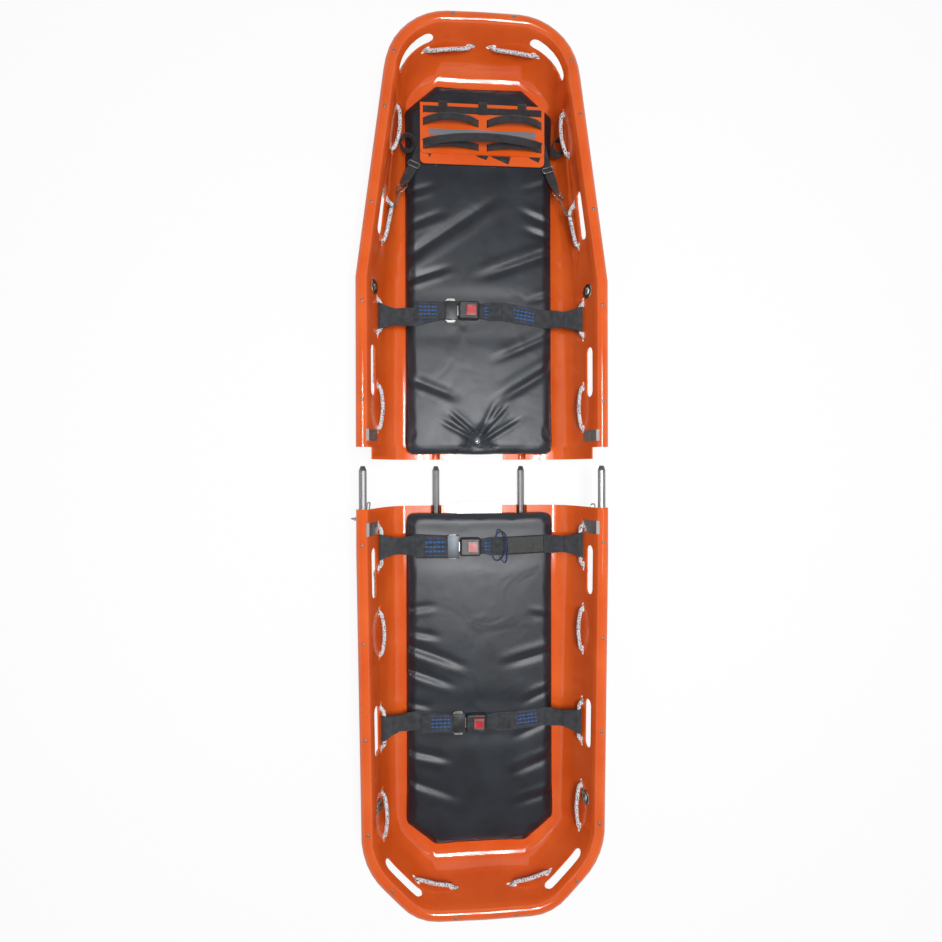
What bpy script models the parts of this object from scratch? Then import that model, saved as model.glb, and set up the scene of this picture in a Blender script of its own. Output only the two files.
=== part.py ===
"""Two-piece basket stretcher, pulled apart at its joint, lying on a floor.

Metres, +Z up. The floor is Z = 0, the mid-plane is X = 0, and Y = 0 is half way
between the two ends. The foot half is at +Y and the head half at -Y. Distances
called s run along a half from its rim end at the joint towards its far end.
"""
import math

import bmesh
import bpy
from mathutils import Matrix, Vector

# Clearances
GAP = 0.0003                 # between pieces that touch
SLIDE_GAP = 0.0005           # round a piece that slides or turns

# Whole stretcher
FOOT_LENGTH = 1.112
HEAD_LENGTH = 1.058
FOOT_S = FOOT_LENGTH / 1.112      # places along a half keep their share of its length
HEAD_S = HEAD_LENGTH / 1.058
PULL_APART = 0.157           # between the two rim ends, as it lies
HALF_WIDTH = 0.3256          # outer edge of the rim at the joint
RIM_TOP = 0.190

# Plastic shell
WALL = 0.004
TUBE_R = 0.0125              # rim tube
PIN_R = 0.010                # locating pins
ROLL_GAP = 0.0005            # between the rim tube and the roll round it
ROLL_R = TUBE_R + ROLL_GAP + WALL
TUBE_Z = RIM_TOP - ROLL_R
SKIRT_DROP = 0.0235          # from the tube's axis to the rim's lower edge
ROLL_SHOULDER = 0.003        # flat between the roll and the wall
WALL_TOP_INSET = 2 * ROLL_R + ROLL_SHOULDER
WALL_TOP_DROP = 0.008        # from the tube's axis to the top of the wall
BELLY_LEAN = 0.288           # how far in the wall's upper handle reaches, as a share of its run
BELLY_HEIGHT = 0.061         # height of that handle above the floor
BILGE_REACH = 0.548          # how far in the lower handle reaches
FLOOR_CORNER_R = 0.050
FLOOR_HALF = HALF_WIDTH - 0.1206    # flat floor, from the mid-plane
TONGUE_LENGTH = 0.030        # the foot half's lip that nests in the head half
TONGUE_GAP = 0.0012
TONGUE_LIFT = WALL + TONGUE_GAP
JOGGLE = 0.010               # length of the step behind the tongue
GROOVE_STEP = 0.0125         # where the runner groove widens to its full width
NOTCH_HALF = 0.0668          # cut-out for the centre plate
RIM_SETBACK = 0.001          # foot rim's end face, clear of the head rim's when joined

# Runner channels under the floor
RUNNER_X = 0.120
GROOVE_R = PIN_R + 2 * SLIDE_GAP + WALL
RUNNER_Z = WALL + GROOVE_R
SOCKET_R = GROOVE_R - GAP
FLOOR_TOP = RUNNER_Z + GROOVE_R
WALL_TOP_Z = TUBE_Z - WALL_TOP_DROP
FOOT_GROOVE_END = FOOT_LENGTH - 0.312
HEAD_GROOVE_END = HEAD_LENGTH - 0.218
SOCKET_LENGTH = 0.24

# Pins
PIN_REACH = 0.1095           # past the head half's rim end
PIN_TAPER = 0.012
PIN_TIP_R = 0.0055
PIN_HELD = 0.090             # inside the tube that carries it

# Hand slots: middle and length along the wall, and the share of the wall's curve they span
FOOT_SLOTS = ((0.1990 * FOOT_S, 0.131), (0.6130 * FOOT_S, 0.126))
HEAD_SLOTS = ((0.1660 * HEAD_S, 0.130), (0.5730 * HEAD_S, 0.128))
FOOT_END_SLOT = (0.1950, 0.134)     # middle measured back from the end's middle
HEAD_END_SLOT = (0.2310, 0.134)
SLOT_TOP = 0.012
SLOT_BOTTOM = 0.140

# Lacing rope
ROPE_R = 0.0045
ROPE_LEVEL = 0.215           # share of the wall's curve below its top
ROPE_HOLE_LENGTH = 0.026
ROPE_HOLE_HEIGHT = 0.014
ROPE_CROSS = 0.011           # half length of the stretch that passes a hole
ROPE_INSIDE = 0.0073         # off the wall's inner face at the holes
ROPE_BOW = 0.0062            # further in at mid-stretch
ROPE_OUTSIDE = 0.0100        # off the inner face where it runs outside
OUTSIDE_STEP = 0.028         # between points on the outside, so that it follows the corners
KNOT_R = 0.0095
FOOT_LACING = tuple((a * FOOT_S, b * FOOT_S) for a, b in ((0.0480, 0.1645), (0.2980, 0.3900),
                                                          (0.5400, 0.6540), (0.7830, 0.8980)))
HEAD_LACING = tuple((a * HEAD_S, b * HEAD_S) for a, b in ((0.0450, 0.1600), (0.2715, 0.3870),
                                                          (0.5220, 0.6320), (0.7460, 0.8650)))
STRAP = "strap"              # a stretch that carries a strap runs straight
FOOT_HELD = dict(right={1: STRAP, 2: 0.72}, left={1: STRAP, 2: 0.20})   # or: where a hook pulls it in
HEAD_HELD = dict(right={0: STRAP, 2: STRAP}, left={0: STRAP, 2: STRAP})
HOOK_PULL = 0.0150
ANCHOR_OFF = 0.0088
ANCHOR_EASE = 0.021          # from a hole to the straight stretch
FOOT_END_LACING = (0.149, 0.027)    # back from the end's middle
HEAD_END_LACING = (0.184, 0.077)

# Eyelets
EYELET_R = 0.0195
EYELET_BORE = 0.010
EYELET_LEVEL = 0.105
FOOT_EYELET_S = 0.414 * FOOT_S
HEAD_EYELET_S = 0.772 * HEAD_S
EYELET_FLANGE = 0.0016
EYELET_STAND_IN = 0.0012     # clears the hollow of the wall's inner face
EYELET_STAND_OUT = 0.0005

# Draw latches
LATCH_LEVEL = 0.120
LATCH_PIVOT_S = 0.028
LATCH_PIVOT_OUT = 0.012
LATCH_PIN_R = 0.003
LATCH_PLATE = 0.002
LATCH_HALF_HEIGHT = 0.013
LATCH_BASE_S = (0.014, 0.060)
LUG_HALF = 0.003             # the base's lug between the lever's cheeks
LUG_R = 0.0055
CHEEK_SLOT = 0.0105          # how far the lever is slotted from its pivot
LEVER_LENGTH = 0.0500
LEVER_HALF_HEIGHT = 0.006
LEVER_THICK = 0.009
BAIL_ARM = 0.008             # from the lever's pivot to the bail's
BAIL_LENGTH = 0.0433
BAIL_WIRE_R = 0.002
BAIL_HALF_WIDTH = 0.0083
BAIL_END_OUT = 0.014         # off the wall, clear of the catch
LEFT_LEVER_OPEN = 90.0       # degrees, as it lies
CATCH_HALF_HEIGHT = 0.005
BACKING_FOOT_S = (0.0170, 0.0460)
BACKING_HEAD_S = (0.0340, 0.0680)

BACKING_THICK = 0.002

# Centre plate on the head half's floor
PLATE_HALF = 0.0632
PLATE_PAST_EDGE = 0.006
PLATE_LENGTH = 0.052
PLATE_THICK = 0.004

# Pads
PAD_THICK = 0.030
PAD_CROWN = 0.002
PAD_LIFT = 0.0055            # the joint end rises over the tongue and the centre plate
PAD_CORNER_R = 0.040
PAD_SECTION = ((0.012, 0.0), (0.003, 0.003), (0.0, 0.009), (0.0, 0.015), (0.006, 0.0235), (0.014, 0.028),
               (0.026, 0.030))   # inset and height, from the underside's edge to the top's
PAD_HALF = FLOOR_HALF - 0.0005
FOOT_PAD = dict(start=-0.017, end=FOOT_LENGTH - 0.116, chamfer=FOOT_LENGTH - 0.1892, end_half=FLOOR_HALF - 0.0845,
                lift=(0.012, 0.040))
HEAD_PAD = dict(start=0.018, end=HEAD_LENGTH - 0.1235, chamfer=HEAD_LENGTH - 0.1877, end_half=FLOOR_HALF - 0.079,
                lift=(0.048, 0.075))
PAD_BASE = FLOOR_TOP + GAP
PAD_TOP = PAD_BASE + PAD_THICK + PAD_CROWN

# Cross straps
WEB_WIDTH = 0.050
WEB_THICK = 0.002
WEB_SEAT = 0.0006            # over the pad's faceted top
LOOP_GAP = 0.0007            # round the rope
FREE_END = 0.085             # doubled webbing behind the tongue
TONGUE_LONG = 0.032
TONGUE_WIDE = 0.065
TONGUE_PLATE = 0.003
TONGUE_RAIL = 0.007
TONGUE_WINDOW = 0.011
BLADE_WIDE = 0.026
BLADE_LONG = 0.018
BUCKLE_LONG = 0.056
BUCKLE_WIDE = 0.050
BUCKLE_HIGH = 0.018
BUTTON_LONG = 0.028
BUTTON_WIDE = 0.030
BUTTON_HIGH = 0.007
BUTTON_PROUD = 0.001
BUTTON_TRAVEL = 0.004
BUCKLE_FROM_TONGUE = 0.0352  # from the tongue's rail to the buckle
BUTTON_FROM_BUCKLE = 0.0208
REAR_WEB = 0.042             # width of the sewn webbing in the buckle's rear
FOOT_STRAP = dict(name="strap_1", s=0.3757 * FOOT_S, tongue_x=-0.0940, stretch=1)
HEAD_STRAP = dict(name="strap_2", s=0.1105 * HEAD_S, tongue_x=-0.0912, stretch=0)
CHEST_STRAP = dict(name="strap_3", s=0.5920 * HEAD_S, tongue_x=-0.0760, stretch=2)

# Footrest, folded flat on the foot pad
REST_X = 0.0085
REST_HALF = 0.1700
REST_HINGE_S = FOOT_LENGTH - 0.1755
REST_UPPER = 0.1370
REST_LOWER = 0.1630
REST_PLATE = 0.003
REST_STRAP = 0.0024
RING_R = 0.0055
RING_BAND = 0.0014
RING_XS = (-0.108, 0.0, 0.108)
RING_WIDE = 0.020
FOOT_BAND = dict(back=0.112, wide=0.022, rise=0.042, reach=0.150)      # over the soles, back from the hinge
INSTEP_BAND = dict(back=0.053, wide=0.020, rise=0.030, reach=0.154)
INSTEP_MIDDLE = 0.016        # half of its flat middle
STRIP_BACK = 0.080           # stiffening strip on the upper panel
STRIP_HALF = (0.146, 0.008)
STRIP_THICK = 0.0015
EDGE_FROM_AXIS = 0.0004
REST_LOW = PAD_TOP + 0.0036

# Side straps of the footrest and their snap hooks
STRAP_LEAVES_S = FOOT_LENGTH - 0.2945
HOOK_S = dict(left=0.6295 * FOOT_S, right=0.6205 * FOOT_S)
EYE_FROM_ROPE = dict(left=(0.0232, 0.060), right=(0.0212, 0.062))    # inwards and towards the foot end
EYE_DROP = 0.0313
EYE_R = 0.012
HOOK_R = 0.0098
HOOK_WIRE_R = 0.002
HOOK_LEAN = math.radians(62) # between the rope and the hook's plane
HOOK_SEAT = 0.0018           # the rope bears on the hook's crown
GATE_R = 0.0017

ORANGE = (0.80, 0.13, 0.02)
BLACK = (0.012, 0.012, 0.013)
STEEL = (0.55, 0.55, 0.54)

JOINT_MID = (HEAD_LENGTH - FOOT_LENGTH) / 2
FOOT_JOINT_Y = JOINT_MID + PULL_APART / 2
HEAD_JOINT_Y = JOINT_MID - PULL_APART / 2
REST_Y = FOOT_JOINT_Y + REST_HINGE_S
SIDES = (("left", -1), ("right", 1))


# General helpers

def clear_scene():
    for old in list(bpy.data.objects):
        bpy.data.objects.remove(old, do_unlink=True)


def make_material(name, colour, roughness, metallic=0.0):
    mat = bpy.data.materials.new(name)
    mat.use_nodes = True
    shader = mat.node_tree.nodes["Principled BSDF"]
    shader.inputs["Base Color"].default_value = (*colour, 1.0)
    shader.inputs["Roughness"].default_value = roughness
    shader.inputs["Metallic"].default_value = metallic
    mat.diffuse_color = (*colour, 1.0)
    return mat


def add_object(name, bm, mat, parent=None, sharp=35.0):
    """Turn a bmesh into a named object, keeping its world place under a parent."""
    bmesh.ops.remove_doubles(bm, verts=bm.verts, dist=0.000005)
    bmesh.ops.recalc_face_normals(bm, faces=bm.faces)
    mesh = bpy.data.meshes.new(name)
    bm.to_mesh(mesh)
    bm.free()
    mesh.shade_smooth()
    mesh.set_sharp_from_angle(angle=math.radians(sharp))
    mesh.materials.append(mat)
    obj = bpy.data.objects.new(name, mesh)
    bpy.context.scene.collection.objects.link(obj)
    if parent:
        hang(obj, parent)
    return obj


def hang(obj, parent):
    obj.parent = parent
    obj.matrix_parent_inverse = parent.matrix_world.inverted()


def make_empty(name, place, parent=None):
    empty = bpy.data.objects.new(name, None)
    bpy.context.scene.collection.objects.link(empty)
    empty.location = place
    bpy.context.view_layer.update()
    if parent:
        hang(empty, parent)
        bpy.context.view_layer.update()
    return empty


def add_cutter(name, bm):
    cutter = add_object(name, bm, MATERIALS["guide"])
    cutter.hide_render = True
    cutter.display_type = "WIRE"
    return cutter


def use_boolean(obj, operation, cutter):
    mod = obj.modifiers.new(operation.lower(), "BOOLEAN")
    mod.operation = operation
    mod.object = cutter
    mod.solver = "EXACT"


def add_box(bm, low, high):
    low, high = Vector(low), Vector(high)
    size = high - low
    matrix = Matrix.Translation((low + high) / 2) @ Matrix.Diagonal((*size, 1.0))
    return bmesh.ops.create_cube(bm, size=1.0, matrix=matrix)["verts"]


def add_prism(bm, loop_a, loop_b):
    """Close the space between two matching loops of points."""
    ring_a = [bm.verts.new(p) for p in loop_a]
    ring_b = [bm.verts.new(p) for p in loop_b]
    for i in range(len(ring_a)):
        j = (i + 1) % len(ring_a)
        bm.faces.new((ring_a[i], ring_a[j], ring_b[j], ring_b[i]))
    bm.faces.new(ring_a)
    bm.faces.new(list(reversed(ring_b)))


def skin(bm, rings):
    """Close the surface over matching rings, with a cap at each end."""
    count = len(rings[0])
    for a, b in zip(rings, rings[1:]):
        for k in range(count):
            m = (k + 1) % count
            bm.faces.new((a[k], a[m], b[m], b[k]))
    bm.faces.new(rings[0])
    bm.faces.new(list(reversed(rings[-1])))


def add_rod(bm, start, end, radius, end_radius=None, sides=12):
    """A round bar whose flats line up with every other bar of as many sides."""
    start, end = Vector(start), Vector(end)
    axis = (end - start).normalized()
    across = Vector((0, 0, 1)) if abs(axis.z) < 0.9 else Vector((1, 0, 0))
    across = (across - axis * across.dot(axis)).normalized()
    other = axis.cross(across)

    def ring(centre, r):
        angles = [2 * math.pi * k / sides for k in range(sides)]
        return [centre + across * r * math.cos(a) + other * r * math.sin(a) for a in angles]

    add_prism(bm, ring(start, radius), ring(end, radius if end_radius is None else end_radius))


def listed(value, count):
    return list(value) if isinstance(value, (list, tuple)) else [value] * count


def add_ribbon(bm, points, across, widths, thick):
    """A flat band along points; across, widths and thick are single values or one per point."""
    points = [Vector(p) for p in points]
    count = len(points)
    widths, thicks, across = listed(widths, count), listed(thick, count), listed(across, count)
    rings = []
    for i, point in enumerate(points):
        ahead = (points[min(i + 1, count - 1)] - point).normalized()
        behind = (point - points[max(i - 1, 0)]).normalized()
        along = (ahead + behind).normalized()
        mitre = 1.0 / max(0.6, along.dot(ahead if ahead.length else behind))
        wide = across[i].normalized()
        up = along.cross(wide).normalized() * thicks[i] * 0.5 * mitre
        side = wide * widths[i] * 0.5
        rings.append([bm.verts.new(point + v) for v in (side + up, up - side, -side - up, side - up)])
    skin(bm, rings)


def arc(centre_x, centre_y, radius, start, end, steps):
    angles = [math.radians(start + (end - start) * k / steps) for k in range(steps + 1)]
    return [(centre_x + radius * math.cos(a), centre_y + radius * math.sin(a)) for a in angles]


def lerp(a, b, t):
    return a + (b - a) * t


def clamp(value, low, high):
    return max(low, min(high, value))


# Plan outlines and the wall's curve

def rounded(corners, radii, steps=10):
    """A polyline whose inner corners are replaced by tangent arcs."""
    path = [Vector(corners[0])]
    for before, corner, after, radius in zip(corners, corners[1:], corners[2:], radii):
        corner, into, out = Vector(corner), Vector(before) - Vector(corner), Vector(after) - Vector(corner)
        into.normalize()
        out.normalize()
        half = into.angle(out) / 2
        bisector = (into + out).normalized()
        centre = corner + bisector * radius / math.sin(half)
        start = corner + into * radius / math.tan(half) - centre
        end = corner + out * radius / math.tan(half) - centre
        sweep = start.angle_signed(end)
        for k in range(steps + 1):
            angle = -sweep * k / steps
            turned = Vector((start.x * math.cos(angle) - start.y * math.sin(angle),
                             start.x * math.sin(angle) + start.y * math.cos(angle)))
            path.append(centre + turned)
    path.append(Vector(corners[-1]))
    return path


def walk(path, distance):
    """The point at a distance along a polyline."""
    for a, b in zip(path, path[1:]):
        step = (b - a).length
        if distance <= step:
            return a.lerp(b, distance / step if step else 0.0)
        distance -= step
    return path[-1].copy()


def path_length(path):
    return sum((b - a).length for a, b in zip(path, path[1:]))


def resample(path, count):
    total = path_length(path)
    return [walk(path, total * k / count) for k in range(count + 1)]


def cut_path(path, start_s, end_x):
    """The stretch of an outline from s = start_s to x = end_x."""
    kept = []
    for a, b in zip(path, path[1:]):
        if a.y < start_s <= b.y:
            kept.append(a.lerp(b, (start_s - a.y) / (b.y - a.y)))
        if kept and b.x > end_x:
            kept.append(b)
        if kept and a.x > end_x >= b.x:
            kept.append(a.lerp(b, (a.x - end_x) / (a.x - b.x)))
            break
    return kept


CORNER_STEPS = 11
END_STEPS = 3


class Half:
    """One half's outlines: matching stations on the rim's outer edge and the floor's edge."""

    def __init__(self, name, sign, joint_y, rim, radii, floor_corner, floor_end, sides):
        self.name = name
        self.sign = sign
        self.joint_y = joint_y
        self.side_stations = sides
        rim_path = rounded(rim, radii)
        end_x = floor_end[0]
        floor_path = rounded([(FLOOR_HALF, sides[-1]), floor_corner, floor_end], (FLOOR_CORNER_R,))
        rim_end_x = rim_path[-2].x
        self.outer = [Vector((self.side_x(rim_path, s), s)) for s in sides]
        self.floor = [Vector((FLOOR_HALF, s)) for s in sides]
        rim_corner = resample(cut_path(rim_path, sides[-1], rim_end_x + 1e-6), CORNER_STEPS)
        self.outer += rim_corner[1:]
        self.floor += resample(floor_path, CORNER_STEPS)[1:]
        for k in range(1, END_STEPS + 1):
            share = k / END_STEPS
            self.outer.append(rim_path[-2].lerp(rim_path[-1], share))
            self.floor.append(Vector((lerp(end_x, 0.0, share), floor_end[1])))
        self.inward = [self.normal(i) for i in range(len(self.outer))]
        self.count = len(self.outer)

    @staticmethod
    def side_x(path, s):
        for a, b in zip(path, path[1:]):
            if a.y <= s <= b.y:
                return lerp(a.x, b.x, (s - a.y) / (b.y - a.y))
        raise ValueError("station lies past the side")

    def normal(self, i):
        if i < len(self.side_stations):
            return Vector((-1.0, 0.0))
        if i == len(self.outer) - 1:
            return Vector((0.0, -1.0))
        along = self.outer[i + 1] - self.outer[i - 1]
        return Vector((-along.y, along.x)).normalized() * (1 if along.x < 0 else -1)

    def rim_point(self, i, inset):
        return self.outer[i] + self.inward[i] * inset

    def wall_plan(self, q, t):
        """Plan point and height on the wall's inner face at station q, share t of the curve."""
        i = min(int(q), self.count - 2)
        a = self.wall_station(i, t)
        b = self.wall_station(i + 1, t)
        return a.lerp(b, q - i)

    def wall_station(self, i, t):
        inset, height = wall_curve(t)
        flat = self.rim_point(i, WALL_TOP_INSET).lerp(self.floor[i], inset)
        return Vector((flat.x, flat.y, height))

    def station_at(self, t, distance):
        """The station at a distance along the wall at one level."""
        for i in range(self.count - 1):
            a, b = self.wall_station(i, t), self.wall_station(i + 1, t)
            step = (b - a).length
            if distance <= step:
                return i + distance / step
            distance -= step
        return self.count - 1.0

    def level_length(self, t):
        return sum((self.wall_station(i + 1, t) - self.wall_station(i, t)).length
                   for i in range(self.count - 1))

    def world(self, x, s, z):
        return Vector((x, self.joint_y + self.sign * s, z))

    def on_wall(self, side, distance, t, off=0.0):
        """World point: distance along a side's wall, level t, off the inner face (+ is inside)."""
        total = self.level_length(t)
        if distance > total:
            side, distance = -side, 2 * total - distance
        q = self.station_at(t, distance)
        point = self.wall_plan(q, t)
        step_q = 0.02 if q < self.count - 1.05 else -0.02
        along = (self.wall_plan(q + step_q, t) - point) * (1 if step_q > 0 else -1)
        down = self.wall_plan(q, t + 0.01) - point
        inward = along.cross(down).normalized()
        if inward.z < 0:
            inward = -inward
        point = point + inward * off
        return self.world(side * point.x, point.y, point.z)

    def wall_frame(self, side, distance, t):
        """Origin on the outer face, then unit vectors towards the joint, outwards and up."""
        base = self.on_wall(side, distance, t)
        outward = (self.on_wall(side, distance, t, -0.01) - base).normalized()
        to_joint = Vector((0.0, -self.sign, 0.0))
        to_joint = (to_joint - outward * to_joint.dot(outward)).normalized()
        up = outward.cross(to_joint)
        if up.z < 0:
            up = -up
        return base + outward * WALL, to_joint, outward, up


def wall_curve(t):
    """Inset share and height of the wall's inner face, from its top (0) to the floor (1)."""
    a, b, c, d = (1 - t) ** 3, 3 * t * (1 - t) ** 2, 3 * t * t * (1 - t), t ** 3
    inset = b * BELLY_LEAN + c * BILGE_REACH + d
    height = a * WALL_TOP_Z + b * (FLOOR_TOP + BELLY_HEIGHT) + (c + d) * FLOOR_TOP
    return inset, height


KINK_S = 0.4306 * FOOT_S     # where the foot half starts to narrow

FOOT = Half(
    "foot", 1, FOOT_JOINT_Y,
    rim=((HALF_WIDTH, 0.0), (HALF_WIDTH, KINK_S), (HALF_WIDTH - 0.0925, FOOT_LENGTH - 0.0035), (0.0, FOOT_LENGTH)),
    radii=(0.05, 0.165), floor_corner=(FLOOR_HALF, FOOT_LENGTH - 0.182),
    floor_end=(FLOOR_HALF - 0.087, FOOT_LENGTH - 0.110), sides=(RIM_SETBACK, JOGGLE, KINK_S, FOOT_LENGTH - 0.210))
HEAD = Half(
    "head", -1, HEAD_JOINT_Y,
    rim=((HALF_WIDTH, 0.0), (HALF_WIDTH, 0.12 * HEAD_S), (HALF_WIDTH - 0.0111, HEAD_LENGTH - 0.1495),
         (HALF_WIDTH - 0.1515, HEAD_LENGTH - 0.0030), (0.0, HEAD_LENGTH)),
    radii=(0.05, 0.190, 0.130), floor_corner=(FLOOR_HALF, HEAD_LENGTH - 0.188),
    floor_end=(FLOOR_HALF - 0.081, HEAD_LENGTH - 0.103),
    sides=(0.0, 0.12 * HEAD_S, 0.45 * HEAD_S, HEAD_LENGTH - 0.213))


def sweep_tube(bm, points, radius, sides=8, closed=False, radii=None):
    """A round wire along points, its section carried round without twist."""
    points = [Vector(p) for p in points]
    count = len(points)
    tangents = []
    for i in range(count):
        before = points[i - 1] if closed or i else points[i]
        after = points[(i + 1) % count] if closed or i < count - 1 else points[i]
        tangents.append((after - before).normalized())
    across = tangents[0].orthogonal().normalized()
    rings = []
    for i, (point, tangent) in enumerate(zip(points, tangents)):
        across = (across - tangent * across.dot(tangent)).normalized()
        other = tangent.cross(across)
        r = radii[i] if radii else radius
        angles = [2 * math.pi * k / sides for k in range(sides)]
        rings.append([bm.verts.new(point + (across * math.cos(a) + other * math.sin(a)) * r) for a in angles])
    pairs = list(zip(rings, rings[1:] + rings[:1]))
    if not closed:
        skin(bm, rings)
        return
    for a, b in pairs:
        for k in range(sides):
            m = (k + 1) % sides
            bm.faces.new((a[k], a[m], b[m], b[k]))


# Shells

WALL_LEVELS = (0.0, 0.2, 0.4, 0.65, 1.0)
ROLL_ANGLES = (0, 30, 60, 90, 120, 150)


def roll_levels():
    levels = [(0.0, TUBE_Z - SKIRT_DROP)]
    for angle in ROLL_ANGLES:
        a = math.radians(angle)
        levels.append((ROLL_R * (1 - math.cos(a)), TUBE_Z + ROLL_R * math.sin(a)))
    return levels


def lifted(half, t, lift):
    """Plan x and height of the wall's section at the joint, moved inwards by lift."""
    here, ahead = half.wall_station(0, t), half.wall_station(0, min(t + 0.01, 1.0))
    back = half.wall_station(0, max(t - 0.01, 0.0))
    slope = (ahead - back).normalized()
    return here.x + slope.z * lift, here.z - slope.x * lift


def shell_sheet(half):
    """Rim roll, wall and floor as one open sheet, its visible face up."""
    bm = bmesh.new()
    course = [(1, i) for i in range(half.count)] + [(-1, i) for i in reversed(range(half.count - 1))]
    has_tongue = half is FOOT
    rows = []
    for inset, height in roll_levels():
        points = [(side, half.rim_point(i, inset)) for side, i in course]
        rows.append([bm.verts.new(half.world(side * p.x, p.y, height)) for side, p in points])
    for t in WALL_LEVELS:
        row = []
        for side, i in course:
            p = half.wall_station(i, t)
            if has_tongue and i == 0:
                x, z = lifted(half, t, TONGUE_LIFT)
                p = Vector((x, p.y, z))
            row.append(bm.verts.new(half.world(side * p.x, p.y, p.z)))
        rows.append(row)
    for low, high in zip(rows, rows[1:]):
        for k in range(len(course) - 1):
            bm.faces.new((low[k], low[k + 1], high[k + 1], high[k]))
    last_row = len(half.side_stations) - 1 + CORNER_STEPS
    edge = rows[-1]
    columns = 2 * END_STEPS
    grid = []
    for i in range(last_row):
        right, left = edge[i], edge[-1 - i]
        line = [right]
        for j in range(1, columns):
            line.append(bm.verts.new(right.co.lerp(left.co, j / columns)))
        grid.append(line + [left])
    grid.append(edge[last_row:last_row + columns + 1])
    if has_tongue:
        grid.insert(0, add_tongue(bm, half, rows[len(roll_levels()):], grid[0]))
    for a, b in zip(grid, grid[1:]):
        for j in range(columns):
            bm.faces.new((a[j], b[j], b[j + 1], a[j + 1]))
    return bm


def add_tongue(bm, half, wall_rows, floor_row):
    """The lip past the rim's end: wall strips on both sides; returns the floor's end row."""
    shift = half.world(0, -TONGUE_LENGTH, 0) - half.world(0, RIM_SETBACK, 0)
    for end in (0, -1):
        tips = [bm.verts.new(row[end].co + shift) for row in wall_rows]
        for k in range(len(tips) - 1):
            face = (tips[k], wall_rows[k][end], wall_rows[k + 1][end], tips[k + 1])
            bm.faces.new(face if end == 0 else tuple(reversed(face)))
        if end == 0:
            right_tip = tips[-1]
        else:
            left_tip = tips[-1]
    middle = [bm.verts.new(v.co + shift) for v in floor_row[1:-1]]
    return [right_tip] + middle + [left_tip]


def groove_profile(radius, top, centre_z=None):
    """Half round at the bottom with straight sides up to a height: (x, z) from the runner's line."""
    centre_z = RUNNER_Z if centre_z is None else centre_z
    round_part = arc(0.0, centre_z, radius, 180, 360, 6)
    return [(-radius, top)] + round_part + [(radius, top)]


def skid_profile(top):
    """Outside of a runner channel: a flat skid with sloping flanks."""
    outer = GROOVE_R + WALL
    flat = 0.42 * outer
    flank = 0.78 * outer
    right = [(flat, 0.0), (flank, 0.3 * RUNNER_Z), (outer, 0.9 * RUNNER_Z), (1.12 * outer, top)]
    return [(-x, z) for x, z in reversed(right)] + right


def along_runner(bm, half, side, sections):
    """Skin over (s, profile) sections along a runner."""
    rings = [[bm.verts.new(half.world(side * RUNNER_X + x, s, z)) for x, z in profile]
             for s, profile in sections]
    skin(bm, rings)


def cut_wall(bm, half, side, middle, length, height, level, turns=3, step=0.024, inside=0.010, outside=0.010):
    """A stadium-shaped cutter on the wall, in columns that follow the wall's bends."""
    q = half.station_at(level, middle)
    fall = (half.wall_plan(q, level + 0.01) - half.wall_plan(q, level)).length / 0.01
    radius = height / 2
    reach = max(0.0, length / 2 - radius)
    angles = [math.radians(90 * (k + 0.35) / (turns + 0.35)) for k in range(1, turns + 1)]
    right = [(reach + radius * math.sin(a), radius * math.cos(a)) for a in [0.0] + angles[:-1]]
    right.append((reach + radius * 0.985, radius * 0.25))
    middle_steps = int(2 * reach / step)
    straight = [(-reach + 2 * reach * k / middle_steps, radius) for k in range(1, middle_steps)]
    columns = [(-a, b) for a, b in reversed(right)] + straight + (right if reach else right[1:])
    rings = []
    for a, b in columns:
        corners = [(b, inside), (-b, inside), (-b, -outside), (b, -outside)]
        rings.append([bm.verts.new(half.on_wall(side, middle + a, level + up / fall, off)) for up, off in corners])
    skin(bm, rings)


def slot_height(half, middle):
    """A hand slot's height on the wall, from its two levels."""
    q = half.station_at(SLOT_BOTTOM, middle)
    return (half.wall_plan(q, SLOT_BOTTOM) - half.wall_plan(q, SLOT_TOP)).length


def lacing_stretches(half):
    """Inside stretches of the rope round the half: start, end and where it is pulled in, if it is."""
    side, end, held = ((FOOT_LACING, FOOT_END_LACING, FOOT_HELD) if half is FOOT
                       else (HEAD_LACING, HEAD_END_LACING, HEAD_HELD))
    total = half.level_length(ROPE_LEVEL)
    right = [(a, b, held["right"].get(i)) for i, (a, b) in enumerate(side)]
    left = [(2 * total - b, 2 * total - a, held["left"].get(i)) for i, (a, b) in reversed(list(enumerate(side)))]
    ends = [(total - end[0], total - end[1], None), (total + end[1], total + end[0], None)]
    return right + ends + left


def wall_cutter(half):
    """Everything that is cut through the wall: hand slots, rope holes and eyelet holes."""
    bm = bmesh.new()
    slots = FOOT_SLOTS if half is FOOT else HEAD_SLOTS
    back, length = FOOT_END_SLOT if half is FOOT else HEAD_END_SLOT
    level = (SLOT_TOP + SLOT_BOTTOM) / 2
    total = half.level_length(level)
    eyelet_s = FOOT_EYELET_S if half is FOOT else HEAD_EYELET_S
    eyelet_hole = 2 * (EYELET_BORE + EYELET_FLANGE + SLIDE_GAP)
    for _, side in SIDES:
        for middle, size in slots:
            cut_wall(bm, half, side, middle, size, slot_height(half, middle), level, step=0.05)
        cut_wall(bm, half, side, total - back, length, slot_height(half, total - back), level)
        cut_wall(bm, half, side, eyelet_s, 0.0, eyelet_hole, EYELET_LEVEL, 4)
    for start, end, _ in lacing_stretches(half):
        for hole in (start, end):
            cut_wall(bm, half, 1, hole, ROPE_HOLE_LENGTH, ROPE_HOLE_HEIGHT, ROPE_LEVEL, 2)
    return add_cutter(half.name + "_wall_cutter", bm)


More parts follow.
